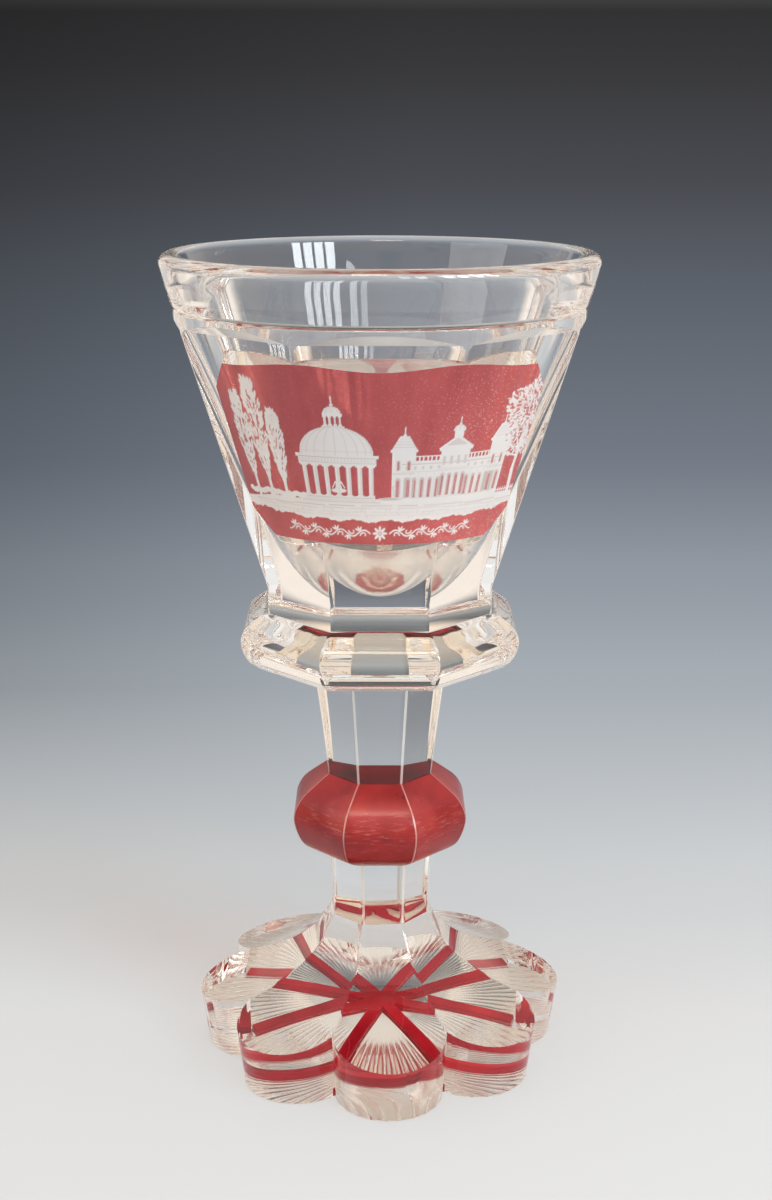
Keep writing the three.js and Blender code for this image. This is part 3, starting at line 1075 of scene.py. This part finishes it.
    def _fountain(self) -> None:
        """Draws the low basin between the two buildings."""
        frost, fine = self._start(2.2)
        frost.dab(0, 0.4, 3.4, 0.75)
        fine.dab(0, 0.75, 2.6, 0.25, 0.0, 0.7)
        for lean in (-1.7, -1.0, -0.4, 0.4, 1.0, 1.7):
            fine.stroke([(lean * t, 1.0 + 11 * t * (1 - t))
                         for t in (0.0, 0.2, 0.4, 0.6, 0.8, 1.0)], 0.2, 0.45)

    def _broad_tree(self) -> None:
        """Draws the leafy tree that leans in from the right edge."""
        frost, _ = self._start(33.0)
        draw = self.random.uniform
        frost.stroke([(0.4, -1), (-0.2, 5), (0.2, 12)], 1.3, end_width=0.8)
        for angle, reach in ((2.3, 6.0), (1.9, 7.5), (2.7, 5.0), (1.3, 6.5)):
            frost.stroke([(0, 6 + reach * 0.4),
                          (reach * math.cos(angle), 7 + reach * math.sin(angle))],
                         0.6, end_width=0.25)
        self._start(34.0, self.ground + 16.8)
        for _ in range(1100):
            angle = draw(0, 2 * math.pi)
            reach = math.sqrt(self.random.random()) * (1 + 0.16 * math.sin(5 * angle + 0.7))
            frost.dab(7.6 * reach * math.cos(angle), 9.2 * reach * math.sin(angle),
                      draw(0.34, 0.62), draw(0.13, 0.2), angle + draw(-0.9, 0.9))
        for _ in range(150):
            angle = draw(0, 2 * math.pi)
            reach = math.sqrt(self.random.random()) * 0.95
            frost.dab(7.4 * reach * math.cos(angle), 9 * reach * math.sin(angle), 0.34, 0.13,
                      angle + draw(-0.6, 0.6), 0.1)

    def _border(self) -> None:
        """Draws the scroll border on the stained strip under the terrace, which sags a little."""
        frost, _ = self._start(0.0, self.border)
        sag = 0.0010
        for k in range(8):
            angle = SECTOR * k
            frost.dab(1.05 * math.cos(angle), 1.05 * math.sin(angle), 0.72, 0.3, angle)
        frost.dab(0, 0, 0.42, 0.42, 0, 0.2)
        frost.dab(0, 0, 0.25, 0.25)
        for side in (-1, 1):
            frost.stroke([(side * x, sag * x * x + 0.75 * math.sin((x - 2.4) * math.pi / 2.8))
                          for x in (2.4 + 0.5 * i for i in range(43))], 0.34, end_width=0.24)
            for k in range(7):
                x = 3.8 + 2.8 * k
                rise = 1 if k % 2 == 0 else -1
                curl = [(0.95 * (1 - 0.12 * i), 0.55 * i) for i in range(8)]
                frost.stroke([(side * (x + radius * math.cos(angle)),
                               sag * x * x - rise * (0.5 - radius * math.sin(angle)))
                              for radius, angle in curl], 0.32, end_width=0.2)
                for lean, reach in ((0.5, 0.75), (1.2, 0.8), (1.9, 0.6)):
                    frost.dab(side * (x + 1.0 + reach * math.cos(lean)),
                              sag * (x + 1) ** 2 + rise * (0.5 + 0.6 * math.sin(lean)), 0.55,
                              0.2, rise * lean if side > 0 else math.pi - rise * lean)


@dataclass
class ViewPanel:
    """The raised medallion over the front facets, part of a round cone through the corners."""

    finishes: Finishes
    bowl: Bowl
    bottom: float = 131.5
    top: float = 169.5
    half_angle: float = math.radians(53.5)
    top_corner: Point = (5.8, math.radians(6.5))
    low_corner: Point = (5.6, math.radians(9.5))
    seat: float = 1.0
    bevel: float = 3.0
    top_scallop: float = 1.2
    skin_cells: tuple[int, int] = (440, 200)
    recess_cells: tuple[int, int] = (120, 40)
    recess_proud: float = 1.0
    coarser: int = 5
    unrolled_radius: float = 38.0
    cut_depth: float = 0.06
    line_depth: float = 0.03
    wear_across: Point = (15.0, 5.0)
    wear_up: Point = (166.0, 2.0)

    def _edge_angle(self, height: float) -> float:
        """Returns the azimuth of the panel's side edge at a height."""
        cut = 0.0
        rise, turn = self.top_corner
        if height > self.top - rise:
            cut = turn * (height - self.top + rise) / rise
        rise, turn = self.low_corner
        if height < self.bottom + rise:
            cut = turn * (self.bottom + rise - height) / rise
        return self.half_angle - cut

    def sheet(self, cells: tuple[int, int], outer: bool, proud: float) -> Solid:
        """Makes the front or the back skin of the panel.

        Args:
            cells: number of cells across and up.
            outer: true for the front skin, false for the one on the seat.
            proud: how far the front skin stands out from the cone.

        Returns:
            An open mesh in metres.
        """
        bm = bmesh.new()
        bmesh.ops.create_grid(bm, x_segments=cells[0], y_segments=cells[1], size=1.0)
        for vert in bm.verts:
            across, up = vert.co.x, (vert.co.y + 1) / 2
            height = self.bottom + up * (self.top - self.bottom)
            angle = across * self._edge_angle(height)
            height += up ** 6 * self.top_scallop * math.sin(
                math.pi * (abs(angle) + HALF_SIDE) / (2 * HALF_SIDE) - math.pi / 2) ** 2
            radius = self.bowl.corner(height) + proud
            if not outer:
                angle += across * self.bevel / radius
                height += (2 * up - 1) * self.bevel
                radius = self.bowl.corner(height) * CORNER_TO_FLAT - self.seat
            vert.co = (radius * math.sin(angle) * MM, -radius * math.cos(angle) * MM, height * MM)
        return bm

    def solid(self, cells: tuple[int, int], grow: float = 0.0, proud: float = 0.0) -> Solid:
        """Makes the closed panel from its two skins and the bevelled edge between them.

        Args:
            cells: number of cells across and up the front skin.
            grow: how much larger the solid is all round, for the recess.
            proud: how far the front skin stands out from the cone.

        Returns:
            A closed mesh in metres.
        """
        bm = self.sheet(cells, True, proud)
        coarse = (cells[0] // self.coarser, cells[1] // self.coarser)
        mesh = as_mesh(Form.mark(self.sheet(coarse, False, 0.0), Face.JOINT))
        bm.from_mesh(mesh)
        bpy.data.meshes.remove(mesh)
        rim = [e for e in bm.edges if e.is_boundary]
        for face in bmesh.ops.bridge_loops(bm, edges=rim)["faces"]:
            face.material_index = Face.GROUND.value
        bmesh.ops.recalc_face_normals(bm, faces=bm.faces)
        if grow:
            for vert in bm.verts:
                vert.co += vert.normal * grow * MM
        return bm

    @staticmethod
    def _in_sector(face: bmesh.types.BMFace, turn: float) -> bool:
        """Says whether a face of the panel's edge lies in front of the facet at an azimuth."""
        middle = face.calc_center_median()
        angle = math.atan2(middle.x, -middle.y)
        return abs(angle - turn) <= HALF_SIDE and face.material_index == Face.GROUND.value

    def _mark_edge(self, bm: Solid) -> None:
        """Cuts the panel's edge along the facets of the bowl, and marks what lies inside."""
        tilt = self.bowl.taper * CORNER_TO_FLAT
        base = self.bowl.neck_radius * CORNER_TO_FLAT
        for turn in (-SECTOR, 0, SECTOR):
            normal = Vector((math.sin(turn), -math.cos(turn), -tilt))
            point = Vector((base * math.sin(turn), -base * math.cos(turn),
                            self.bowl.taper_start)) * MM
            faces = [f for f in bm.faces if self._in_sector(f, turn)]
            edges = list({e for f in faces for e in f.edges})
            verts = list({v for f in faces for v in f.verts})
            bmesh.ops.bisect_plane(bm, geom=verts + edges + faces, dist=MERGE, plane_co=point,
                                   plane_no=normal)
            for face in bm.faces:
                if (self._in_sector(face, turn)
                        and normal.dot(face.calc_center_median() - point) < 0):
                    face.material_index = Face.JOINT.value

    def recess(self) -> Solid:
        """Makes the space that the panel takes in the bowl."""
        return Form.mark(self.solid(self.recess_cells, JOINT_GAP, self.recess_proud), Face.JOINT)

    def _wear(self, across: float, up: float) -> float:
        """Returns how worn the stain is at a place: most at the right and lower down."""
        place, width = self.wear_across
        wear = 1 / (1 + math.exp(-(across - place) / width))
        place, width = self.wear_up
        wear *= 0.35 + 0.65 / (1 + math.exp((up - place) / width))
        return 0.12 + 0.88 * wear

    def _engrave(self, bm: Solid) -> None:
        """Grinds the picture into the front skin and keeps where it is for the finish."""
        park = SpaPark()
        for name in LAYERS:
            bm.verts.layers.float.new(name)
        layers = [bm.verts.layers.float[name] for name in LAYERS]
        front = list({v for f in bm.faces if f.material_index == Face.SKIN.value
                      for v in f.verts})
        places = np.array([(math.atan2(v.co.x, -v.co.y) * self.unrolled_radius, v.co.z / MM)
                           for v in front])
        cuts, lines = (raster.sample(*places.T) for raster in (park.frost, park.fine))
        for vert, (across, up), cut, line in zip(front, places, cuts, lines):
            for layer, value in zip(layers, (cut, line * cut, self._wear(across, up))):
                vert[layer] = float(value)
            depth = self.cut_depth * cut + self.line_depth * line * cut
            vert.co -= Vector((vert.co.x, vert.co.y, 0)).normalized() * depth * MM

    def build(self) -> None:
        """Makes the panel with its picture."""
        bm = self.solid(self.skin_cells)
        self._mark_edge(bm)
        self._engrave(bm)
        Form.piece("view_panel_glass", bm, [self.finishes.engraved, self.finishes.joint,
                                            self.finishes.edge], Slot.ENGRAVED, ["view_panel"])


@dataclass
class Collar:
    """The cushion-shaped disc between stem and bowl."""

    finishes: Finishes
    stem_radius: float = 16.7
    chamfer: Point = (29.9, 97.5)
    chamfer_start: float = 29.5
    outline: tuple[Point, ...] = (
        (32.1, 99.15), (33.3, 101.2), (33.9, 103.2), (33.9, 104.8),
        (33.1, 106.6), (31.5, 108.1), (29.2, 109.7),
    )
    shoulder: Point = (27.9, 110.1)
    neck_radius: float = 27.3

    def build(self) -> None:
        """Makes the collar."""
        profile = [
            (self.stem_radius, LEVEL.collar_bottom + JOINT_GAP / 2),
            (self.chamfer_start, LEVEL.collar_bottom + 2 * JOINT_GAP),
            self.chamfer,
            *Form.curve(self.outline, CURVE_STEPS),
            self.shoulder,
            (self.neck_radius, LEVEL.bowl_bottom - JOINT_GAP / 2),
        ]
        Form.piece("collar_glass", Form.octagon(profile),
                   [self.finishes.clear, self.finishes.joint], Slot.CLEAR, ["collar"])


@dataclass
class Stem:
    """The clear octagonal stem above and below the knop."""

    finishes: Finishes
    corner: float = 0.9
    worn: float = 0.2
    steps: int = 4
    upper: tuple[Point, ...] = (
        (13.1, LEVEL.knop_top), (13.9, 76.5), (15.0, 85.0), (15.9, 91.5),
        (16.7, LEVEL.collar_bottom),
    )
    lower: tuple[Point, ...] = (
        (12.3, LEVEL.flare_top), (12.35, 38.0), (12.7, 44.5), (13.1, LEVEL.knop_bottom),
    )

    def build(self) -> None:
        """Makes both stretches of the stem."""
        for node, outline, turn in (("upper_stem", self.upper, 0.0),
                                    ("lower_stem", self.lower, FOOT_TURN)):
            curve = Form.between_joints(outline, self.steps)
            bm = Form.octagon(curve, turn, self.corner, worn=self.worn)
            Form.piece(f"{node}_glass", bm, [self.finishes.clear, self.finishes.joint,
                                             self.finishes.ground], Slot.CLEAR, [node])


@dataclass
class Knop:
    """The octagonal knop, ruby stained all over."""

    finishes: Finishes
    corner: float = 0.5
    worn: float = 0.12
    outline: tuple[Point, ...] = (
        (13.1, LEVEL.knop_bottom), (16.6, 50.7), (19.5, 52.7), (21.0, 55.4), (21.8, 58.2),
        (21.8, 60.2), (21.1, 62.2), (19.6, 64.4), (16.8, 66.7), (13.1, LEVEL.knop_top),
    )

    def build(self) -> None:
        """Makes the knop, with its stain worn thin along the corner edges."""
        curve = Form.between_joints(self.outline, CURVE_STEPS)
        bm = Form.octagon(curve, corner=self.corner, worn=self.worn)
        Form.piece("ruby_knop_glass", bm, [self.finishes.knop, self.finishes.joint,
                                           self.finishes.worn], Slot.RUBY, ["ruby_knop"])


@dataclass
class Foot:
    """The lobed foot: faceted above, with fans and a ruby star cut into its underside."""

    finishes: Finishes
    lobe_radius: float = 12.5
    lobe_centre: float = 29.5
    lobe_flare: float = 0.0034
    lobe_steps: int = 28
    dome: tuple[Point, ...] = (
        (49.5, 12.5), (40.0, 14.8), (34.0, 16.4), (29.5, 18.0), (25.6, 19.8), (22.1, 21.7),
        (18.9, 24.0), (16.2, 26.7), (14.1, 30.1), (12.9, 32.2), (12.3, LEVEL.flare_top),
    )
    edge_height: float = 8.0
    edge_angle: float = math.radians(50)
    edge_round: float = 0.4
    fan_grooves: int = 9
    fan_apex: float = 5.0
    fan_length: float = 42.0
    fan_depth: float = 0.27
    fan_fill: float = 0.90
    flute_sides: int = 12
    rib_half_width: float = 1.45
    rib_reach: float = 31.8
    stain_depth: float = 1.4
    beyond: float = 5.0

    def _lobes(self, top: float) -> Solid:
        """Makes the lobed plate, with a lobe towards +X before it is turned."""
        side = self.lobe_centre * math.sin(HALF_SIDE)
        notch = (self.lobe_centre * math.cos(HALF_SIDE)
                 + math.sqrt(self.lobe_radius ** 2 - side ** 2))
        x, y = notch * math.cos(HALF_SIDE), notch * math.sin(HALF_SIDE)
        bm = bmesh.new()
        start = bm.verts.new((x * MM, -y * MM, 0))
        bmesh.ops.spin(bm, geom=[start], cent=(self.lobe_centre * MM, 0, 0), axis=(0, 0, 1),
                       angle=2 * math.atan2(y, x - self.lobe_centre), steps=self.lobe_steps)
        arc = bm.verts[:] + bm.edges[:]
        for i in range(1, SIDES):
            copy = bmesh.ops.duplicate(bm, geom=arc)["geom"]
            Form.turn(bm, SECTOR * i, Form.verts(copy))
        bmesh.ops.remove_doubles(bm, verts=bm.verts, dist=1e-6)
        return Form.prism(bm, LEVEL.floor, top, self.lobe_flare)

    def _star(self, grow: float, bottom: float, top: float) -> Solid:
        """Makes the star of ribs that run out towards the notches."""
        half = self.rib_half_width + grow
        reach = self.rib_reach + grow
        inner = half / math.sin(HALF_SIDE)
        bm = bmesh.new()
        points = []
        for i in range(SIDES):
            lobe = SECTOR * i
            rib = Matrix.Rotation(lobe + HALF_SIDE, 3, "Z")
            points += [Vector((inner * math.cos(lobe), inner * math.sin(lobe), 0)),
                       rib @ Vector((reach, -half, 0)), rib @ Vector((reach, half, 0))]
        verts = [bm.verts.new(p * MM) for p in points]
        for pair in zip(verts, verts[1:] + verts[:1]):
            bm.edges.new(pair)
        return Form.prism(bm, bottom, top)

    def _fans(self) -> Solid:
        """Makes the flutes of all fans: flattened cones that lie on the floor."""
        pitch = SECTOR / self.fan_grooves
        half_width = self.fan_length * math.tan(pitch / 2) * self.fan_fill
        bm = bmesh.new()
        for lobe in range(SIDES):
            for i in range(self.fan_grooves):
                angle = (i - (self.fan_grooves - 1) / 2) * pitch
                cone = bmesh.ops.create_cone(
                    bm, cap_ends=True, cap_tris=True, segments=self.flute_sides, radius1=0.0,
                    radius2=half_width * MM, depth=self.fan_length * MM)["verts"]
                place = (Matrix.Rotation(SECTOR * lobe, 4, "Z")
                         @ Matrix.Translation((self.fan_apex * MM, 0, 0))
                         @ Matrix.Rotation(angle, 4, "Z")
                         @ Matrix.Scale(self.fan_depth / half_width, 4, (0, 0, 1))
                         @ Matrix.Translation((self.fan_length / 2 * MM, 0, 0))
                         @ Matrix.Rotation(math.pi / 2, 4, "Y"))
                bmesh.ops.transform(bm, matrix=place, verts=cone)
        bmesh.ops.recalc_face_normals(bm, faces=bm.faces)
        return bm

    def _turn(self, bm: Solid) -> Solid:
        """Turns a mesh so that the lobe on +X faces the front, a little off centre."""
        return Form.turn(bm, FOOT_TURN - math.pi / 2)

    def _soften_edge(self, bm: Solid) -> None:
        """Rounds the top edge of the lobes a little."""
        edge = [e for e in bm.edges if len(e.link_faces) == 2
                and e.calc_face_angle(0.0) > self.edge_angle
                and min(v.co.z for v in e.verts) > self.edge_height * MM
                and any(abs(f.normal.z) < 0.02 for f in e.link_faces)]
        bmesh.ops.bevel(bm, geom=edge, offset=self.edge_round * MM, segments=2, profile=0.5,
                        affect="EDGES", material=-1, clamp_overlap=True)

    def build(self) -> None:
        """Makes the foot and the ruby star under it."""
        profile = [(self.dome[0][0], LEVEL.floor - self.beyond),
                   *Form.curve(self.dome, CURVE_STEPS)]
        profile[-1] = (profile[-1][0], LEVEL.flare_top - JOINT_GAP / 2)
        body = Form.octagon(profile, FOOT_TURN, joints=(False, True))
        lobes = self._turn(self._lobes(LEVEL.flare_top + self.beyond))
        body = Form.combine(body, lobes, "INTERSECT")
        self._soften_edge(body)
        channel = self._star(JOINT_GAP, -self.beyond, self.stain_depth + JOINT_GAP)
        for cutter, kind in ((self._fans(), Face.GROUND), (channel, Face.JOINT)):
            body = Form.combine(body, Form.mark(self._turn(cutter), kind), "DIFFERENCE")
        star = self._turn(self._star(0.0, LEVEL.floor, self.stain_depth))
        Form.piece("foot_glass", body, [self.finishes.clear, self.finishes.joint,
                                        self.finishes.ground], Slot.CLEAR, ["foot"])
        Form.piece("ruby_star_glass", star, [self.finishes.ruby] * len(Face), Slot.RUBY,
                   ["ruby_star"])


@dataclass
class Studio:
    """A pale swept table, soft light from a window on the right, and the camera.

    Attributes:
        tones: the sweep's colours, from 0 to 255, by how far behind the goblet they lie along it.
        Their darkening further back and their rise at the top of the wall are painted shade
        and light.
        glow: how far behind the goblet the backdrop starts to glow with its tone of painted
        shade, for the camera and in the glass, and how sharply it does so.
        paper: half the width of the part of the backdrop that the camera sees, as a share of the
        sweep's width, and how sharply it ends. Beside it the goblet sees a glowing, painted room
        instead.
        shade: how fast the glowing tone gets lighter to the right, as painted light from the
            window
        side, where it starts, and its least and greatest share.
        beside_sizes: how small the dark things in the room are, beside the paper and around.
        behind: where the dark part behind the goblet starts, and how sharply.
        high: how high up it starts, and how sharply.
        panes: azimuth in degrees and power in watts of each pane of the window.
        lamps: name, place, size, power and colour of the other lamps.
    """

    camera_place: Place = (0.0, -0.39178, 0.22035)
    camera_tilt: float = math.radians(74.319)
    lens: float = 52.744
    sensor: float = 36.0
    shift: float = 0.0051
    clip_start: float = 0.01
    floor_drop: float = 0.0001
    light_bounces: int = 36
    half_width: float = 1.6
    front: float = -1.4
    flat: tuple[float, float, float] = (-0.6, -0.2, 0.05)
    bend_start: float = 0.36
    bend_radius: float = 0.20
    bend_steps: int = 12
    wall_top: float = 0.42
    glow: Point = (0.10, 14.0)
    paper: Point = (0.067, 90.0)
    shade: tuple[float, float, float, float] = (5.4, -1.7, 0.55, 1.03)
    table_roughness: float = 0.55
    table_specular: float = 0.2
    beside_sizes: Point = (9.0, 3.0)
    behind: Point = (0.22, 4.0)
    high: Point = (0.18, 5.0)
    low_slope: float = 5.0
    beside: Colour = (0.98, 0.875, 0.78)
    beside_dark: Colour = (0.16, 0.11, 0.07)
    backdrop_dark: Colour = (0.80, 0.75, 0.68)
    plain_wall: Colour = (0.62, 0.63, 0.65)
    pane_distance: float = 1.05
    pane_height: float = 0.78
    pane_size: Point = (0.10, 0.5)
    pane_colour: Colour = (0.90, 0.96, 1.0)
    panes: tuple[Point, ...] = (
        (60, 2.8), (52, 2.8), (44, 2.8), (36, 2.8), (22, 1.2), (13, 0.8))
    lamps: tuple[tuple, ...] = (
        ("ceiling_light", (-0.06, -0.46, 1.0), (0.22, 0.22), 1.3, (1.0, 0.84, 0.68)),
        ("side_window", (-0.95, -0.3, 0.8), (0.7, 0.5), 2.5, (1.0, 0.97, 0.93)))
    tones: tuple[tuple[float, tuple[int, int, int]], ...] = (
        (-0.07, (197, 198, 199)), (0.01, (196, 197, 199)), (0.07, (184, 187, 190)),
        (0.17, (175, 180, 185)), (0.30, (162, 169, 176)), (0.423, (143, 150, 159)),
        (0.498, (115, 122, 133)), (0.598, (92, 98, 107)), (0.656, (73, 74, 80)),
        (0.715, (56, 56, 58)), (0.749, (48, 48, 49)), (0.770, (160, 158, 155)),
        (0.833, (200, 198, 194)))
    sky: tuple[tuple[float, Colour], ...] = (
        (0.0, (0.80, 0.78, 0.76)), (0.50, (0.92, 0.82, 0.71)), (0.60, (0.92, 0.82, 0.71)),
        (0.72, (0.80, 0.80, 0.80)), (1.0, (0.95, 0.95, 0.95)))
    target: Place = (0.0, 0.0, 0.1)

    @staticmethod
    def _linear(tone: tuple[int, int, int]) -> Colour:
        """Turns a colour of 0 to 255 into Blender's linear one."""
        return tuple(((c / 255 + 0.055) / 1.055) ** 2.4 for c in tone)

    def _length(self) -> float:
        """Returns the length of the sweep along its profile."""
        return (self.bend_start - self.front + math.pi / 2 * self.bend_radius
                + self.wall_top - self.bend_radius)

    def _share(self, reach: float) -> float:
        """Returns the share of the sweep's length that lies before a place behind the goblet."""
        return (reach - self.front) / self._length()

    def _room_tone(self, n: Nodes, where: Socket, scale: float) -> Socket:
        """Makes the tone of the room at the sides: warm and light, with a few dark things.

        Args:
            n: the nodes to add to.
            where: the place that the tone is read at.
            scale: how small the dark things are.

        Returns:
            The tone's socket.
        """
        return n.ramp(n.noise(where, scale, 2.0, 0.55),
                      [(0.36, self.beside_dark), (0.47, self.beside)])

    def _table_finish(self) -> Material:
        """Makes the table's finish: lit by the lamps nearby, and far behind a glowing tone
        with painted light and shade.
        """
        material = bpy.data.materials.new("pale_table")
        n = Nodes.start(material)
        place = n.first("UVMap", uv_map="sweep")
        x, y, _ = n.add("SeparateXYZ", place).outputs
        # Painted shade and light: the tones darken further back and rise again at the top of the
        # wall.
        tone = n.ramp(y, [(self._share(reach), self._linear(tone)) for reach, tone in self.tones])
        table = n.first("BsdfPrincipled", Base_Color=tone, Roughness=self.table_roughness,
                        Specular_IOR_Level=self.table_specular)
        path = n.add("LightPath").outputs
        seen = n.math("MAXIMUM", path["Is Camera Ray"], path["Is Glossy Ray"])
        seen = n.math("MAXIMUM", seen, path["Is Transmission Ray"])
        # Far behind, camera, glossy and transmission rays see the sweep glow with these painted
        # tones.
        far = n.above(y, self._share(self.glow[0]), self.glow[1])
        aside = n.above(n.math("ABSOLUTE", n.math("SUBTRACT", x, 0.5)), *self.paper)
        # Painted light: the glowing tone gets lighter to the right, where the window is.
        slope, start, least, most = self.shade
        shade = n.math("MULTIPLY_ADD", x, slope, start)
        shade = n.math("MAXIMUM", n.math("MINIMUM", shade, most), least)
        lit = n.first("VectorMath", tone, operation="SCALE", Scale=shade)
        unseen = n.math("SUBTRACT", 1.0, path["Is Camera Ray"])
        share = n.math("MULTIPLY", n.math("MULTIPLY", aside, far), unseen)
        # Beside the seen part, the glass sees a painted room that glows on the sweep.
        paper = n.mix(share, lit, self._room_tone(n, place, self.beside_sizes[0]))
        glow = n.first("Emission", Strength=1.0, Color=paper)
        front = n.first("MixShader", n.math("MULTIPLY", seen, far), table, glow)
        back = n.add("NewGeometry").outputs["Backfacing"]
        one_sided = n.first("MixShader", back, front, n.first("BsdfTransparent"))
        n.add("OutputMaterial", Surface=one_sided)
        return material

    def _reach(self, y: float, z: float) -> float:
        """Returns how far along the sweep a place on it lies."""
        if z <= 0:
            return y - self.front
        if z < self.bend_radius:
            bend = math.acos(1 - z / self.bend_radius)
            return self.bend_start - self.front + self.bend_radius * bend
        return self._length() - self.wall_top + z

    def table(self) -> None:
        """Makes the table top, which sweeps up into the backdrop."""
        bm = bmesh.new()
        stations = [(y, 0.0) for y in (self.front, *self.flat, self.bend_start)]
        for i in range(1, self.bend_steps + 1):
            angle = math.pi / 2 * i / self.bend_steps
            stations.append((self.bend_start + self.bend_radius * math.sin(angle),
                             self.bend_radius * (1 - math.cos(angle))))
        stations.append((self.bend_start + self.bend_radius, self.wall_top))
        verts = [bm.verts.new((-self.half_width, y, z - self.floor_drop)) for y, z in stations]
        line = [bm.edges.new(pair) for pair in zip(verts, verts[1:])]
        made = bmesh.ops.extrude_edge_only(bm, edges=line)["geom"]
        bmesh.ops.translate(bm, verts=Form.verts(made), vec=(2 * self.half_width, 0, 0))
        bmesh.ops.recalc_face_normals(bm, faces=bm.faces)
        bm.faces.ensure_lookup_table()
        if bm.faces[0].normal.z < 0:
            bmesh.ops.reverse_faces(bm, faces=bm.faces)
        layer = bm.loops.layers.uv.new("sweep")
        for face in bm.faces:
            face.smooth = True
            for loop in face.loops:
                x, y, z = loop.vert.co
                height = round(z + self.floor_drop, 6)
                loop[layer].uv = (x / self.half_width / 2 + 0.5,
                                  self._reach(y, height) / self._length())
        obj = set_up("table_top", as_mesh(bm, "table_top"))
        obj.data.materials.append(self._table_finish())

    def lamp(self, name: str, place: Place, size: Point, power: float, colour: Colour) -> None:
        """Hangs a rectangular lamp that shines at the goblet and isn't seen through it.

        Args:
            name: the lamp's name.
            place: its middle, in metres.
            size: its width and height, in metres.
            power: its power in watts.
            colour: its colour.
        """
        data = bpy.data.lights.new(name, "AREA")
        data.shape = "RECTANGLE"
        data.size, data.size_y = size
        data.energy = power
        data.color = colour
        obj = set_up(name, data)
        obj.visible_transmission = False
        obj.location = place
        obj.rotation_mode = "QUATERNION"
        aim = Vector(self.target) - Vector(place)
        obj.rotation_quaternion = aim.to_track_quat("-Z", "Y")

    def world(self) -> None:
        """Sets the room around the table: neutral above, warm and darker near the horizon."""
        world = bpy.data.worlds.new("room")
        bpy.context.scene.world = world
        n = Nodes.start(world)
        where = n.add("TexCoord").outputs["Generated"]
        _, y, z = n.add("SeparateXYZ", where).outputs
        tone = n.ramp(n.math("MULTIPLY_ADD", z, 0.5, 0.5), self.sky)
        low = n.above(0.5, n.math("ABSOLUTE", z), self.low_slope)
        things = self._room_tone(n, where, self.beside_sizes[1])
        room = n.mix(low, tone, things, "MULTIPLY")
        behind = n.math("MULTIPLY", n.above(y, *self.behind), n.above(z, *self.high))
        room = n.mix(behind, room, self.backdrop_dark)
        room = n.mix(n.add("LightPath").outputs["Is Camera Ray"], room, self.plain_wall)
        n.add("OutputWorld", Surface=n.first("Background", Strength=1.0, Color=room))

    def camera(self) -> None:
        """Sets up the camera."""
        data = bpy.data.cameras.new("camera")
        data.lens = self.lens
        data.sensor_width = self.sensor
        data.shift_x = self.shift
        data.clip_start = self.clip_start
        obj = set_up("camera", data)
        obj.location = self.camera_place
        obj.rotation_euler = (self.camera_tilt, 0.0, 0.0)
        bpy.context.scene.camera = obj

    def build(self) -> None:
        """Sets up the whole studio."""
        scene = bpy.context.scene
        scene.view_settings.view_transform = "Standard"
        scene.cycles.max_bounces = self.light_bounces
        scene.cycles.transmission_bounces = self.light_bounces
        scene.cycles.glossy_bounces = self.light_bounces
        scene.cycles.transparent_max_bounces = 2 * self.light_bounces
        self.camera()
        self.table()
        self.world()
        for i, (degrees, power) in enumerate(self.panes):
            angle = math.radians(degrees)
            place = (self.pane_distance * math.sin(angle), -self.pane_distance * math.cos(angle),
                     self.pane_height)
            self.lamp(f"window_pane_{i + 1}", place, self.pane_size, power, self.pane_colour)
        for lamp in self.lamps:
            self.lamp(*lamp)


def main() -> None:
    """Builds the goblet and its surroundings."""
    logging.basicConfig(level=logging.INFO, format="%(name)s: %(message)s")
    finishes = Finishes.make()
    bowl = Bowl(finishes)
    panel = ViewPanel(finishes, bowl)
    bowl.build(panel.recess())
    panel.build()
    Collar(finishes).build()
    Stem(finishes).build()
    Knop(finishes).build()
    Foot(finishes).build()
    Studio().build()


if __name__ == "__main__":
    main()
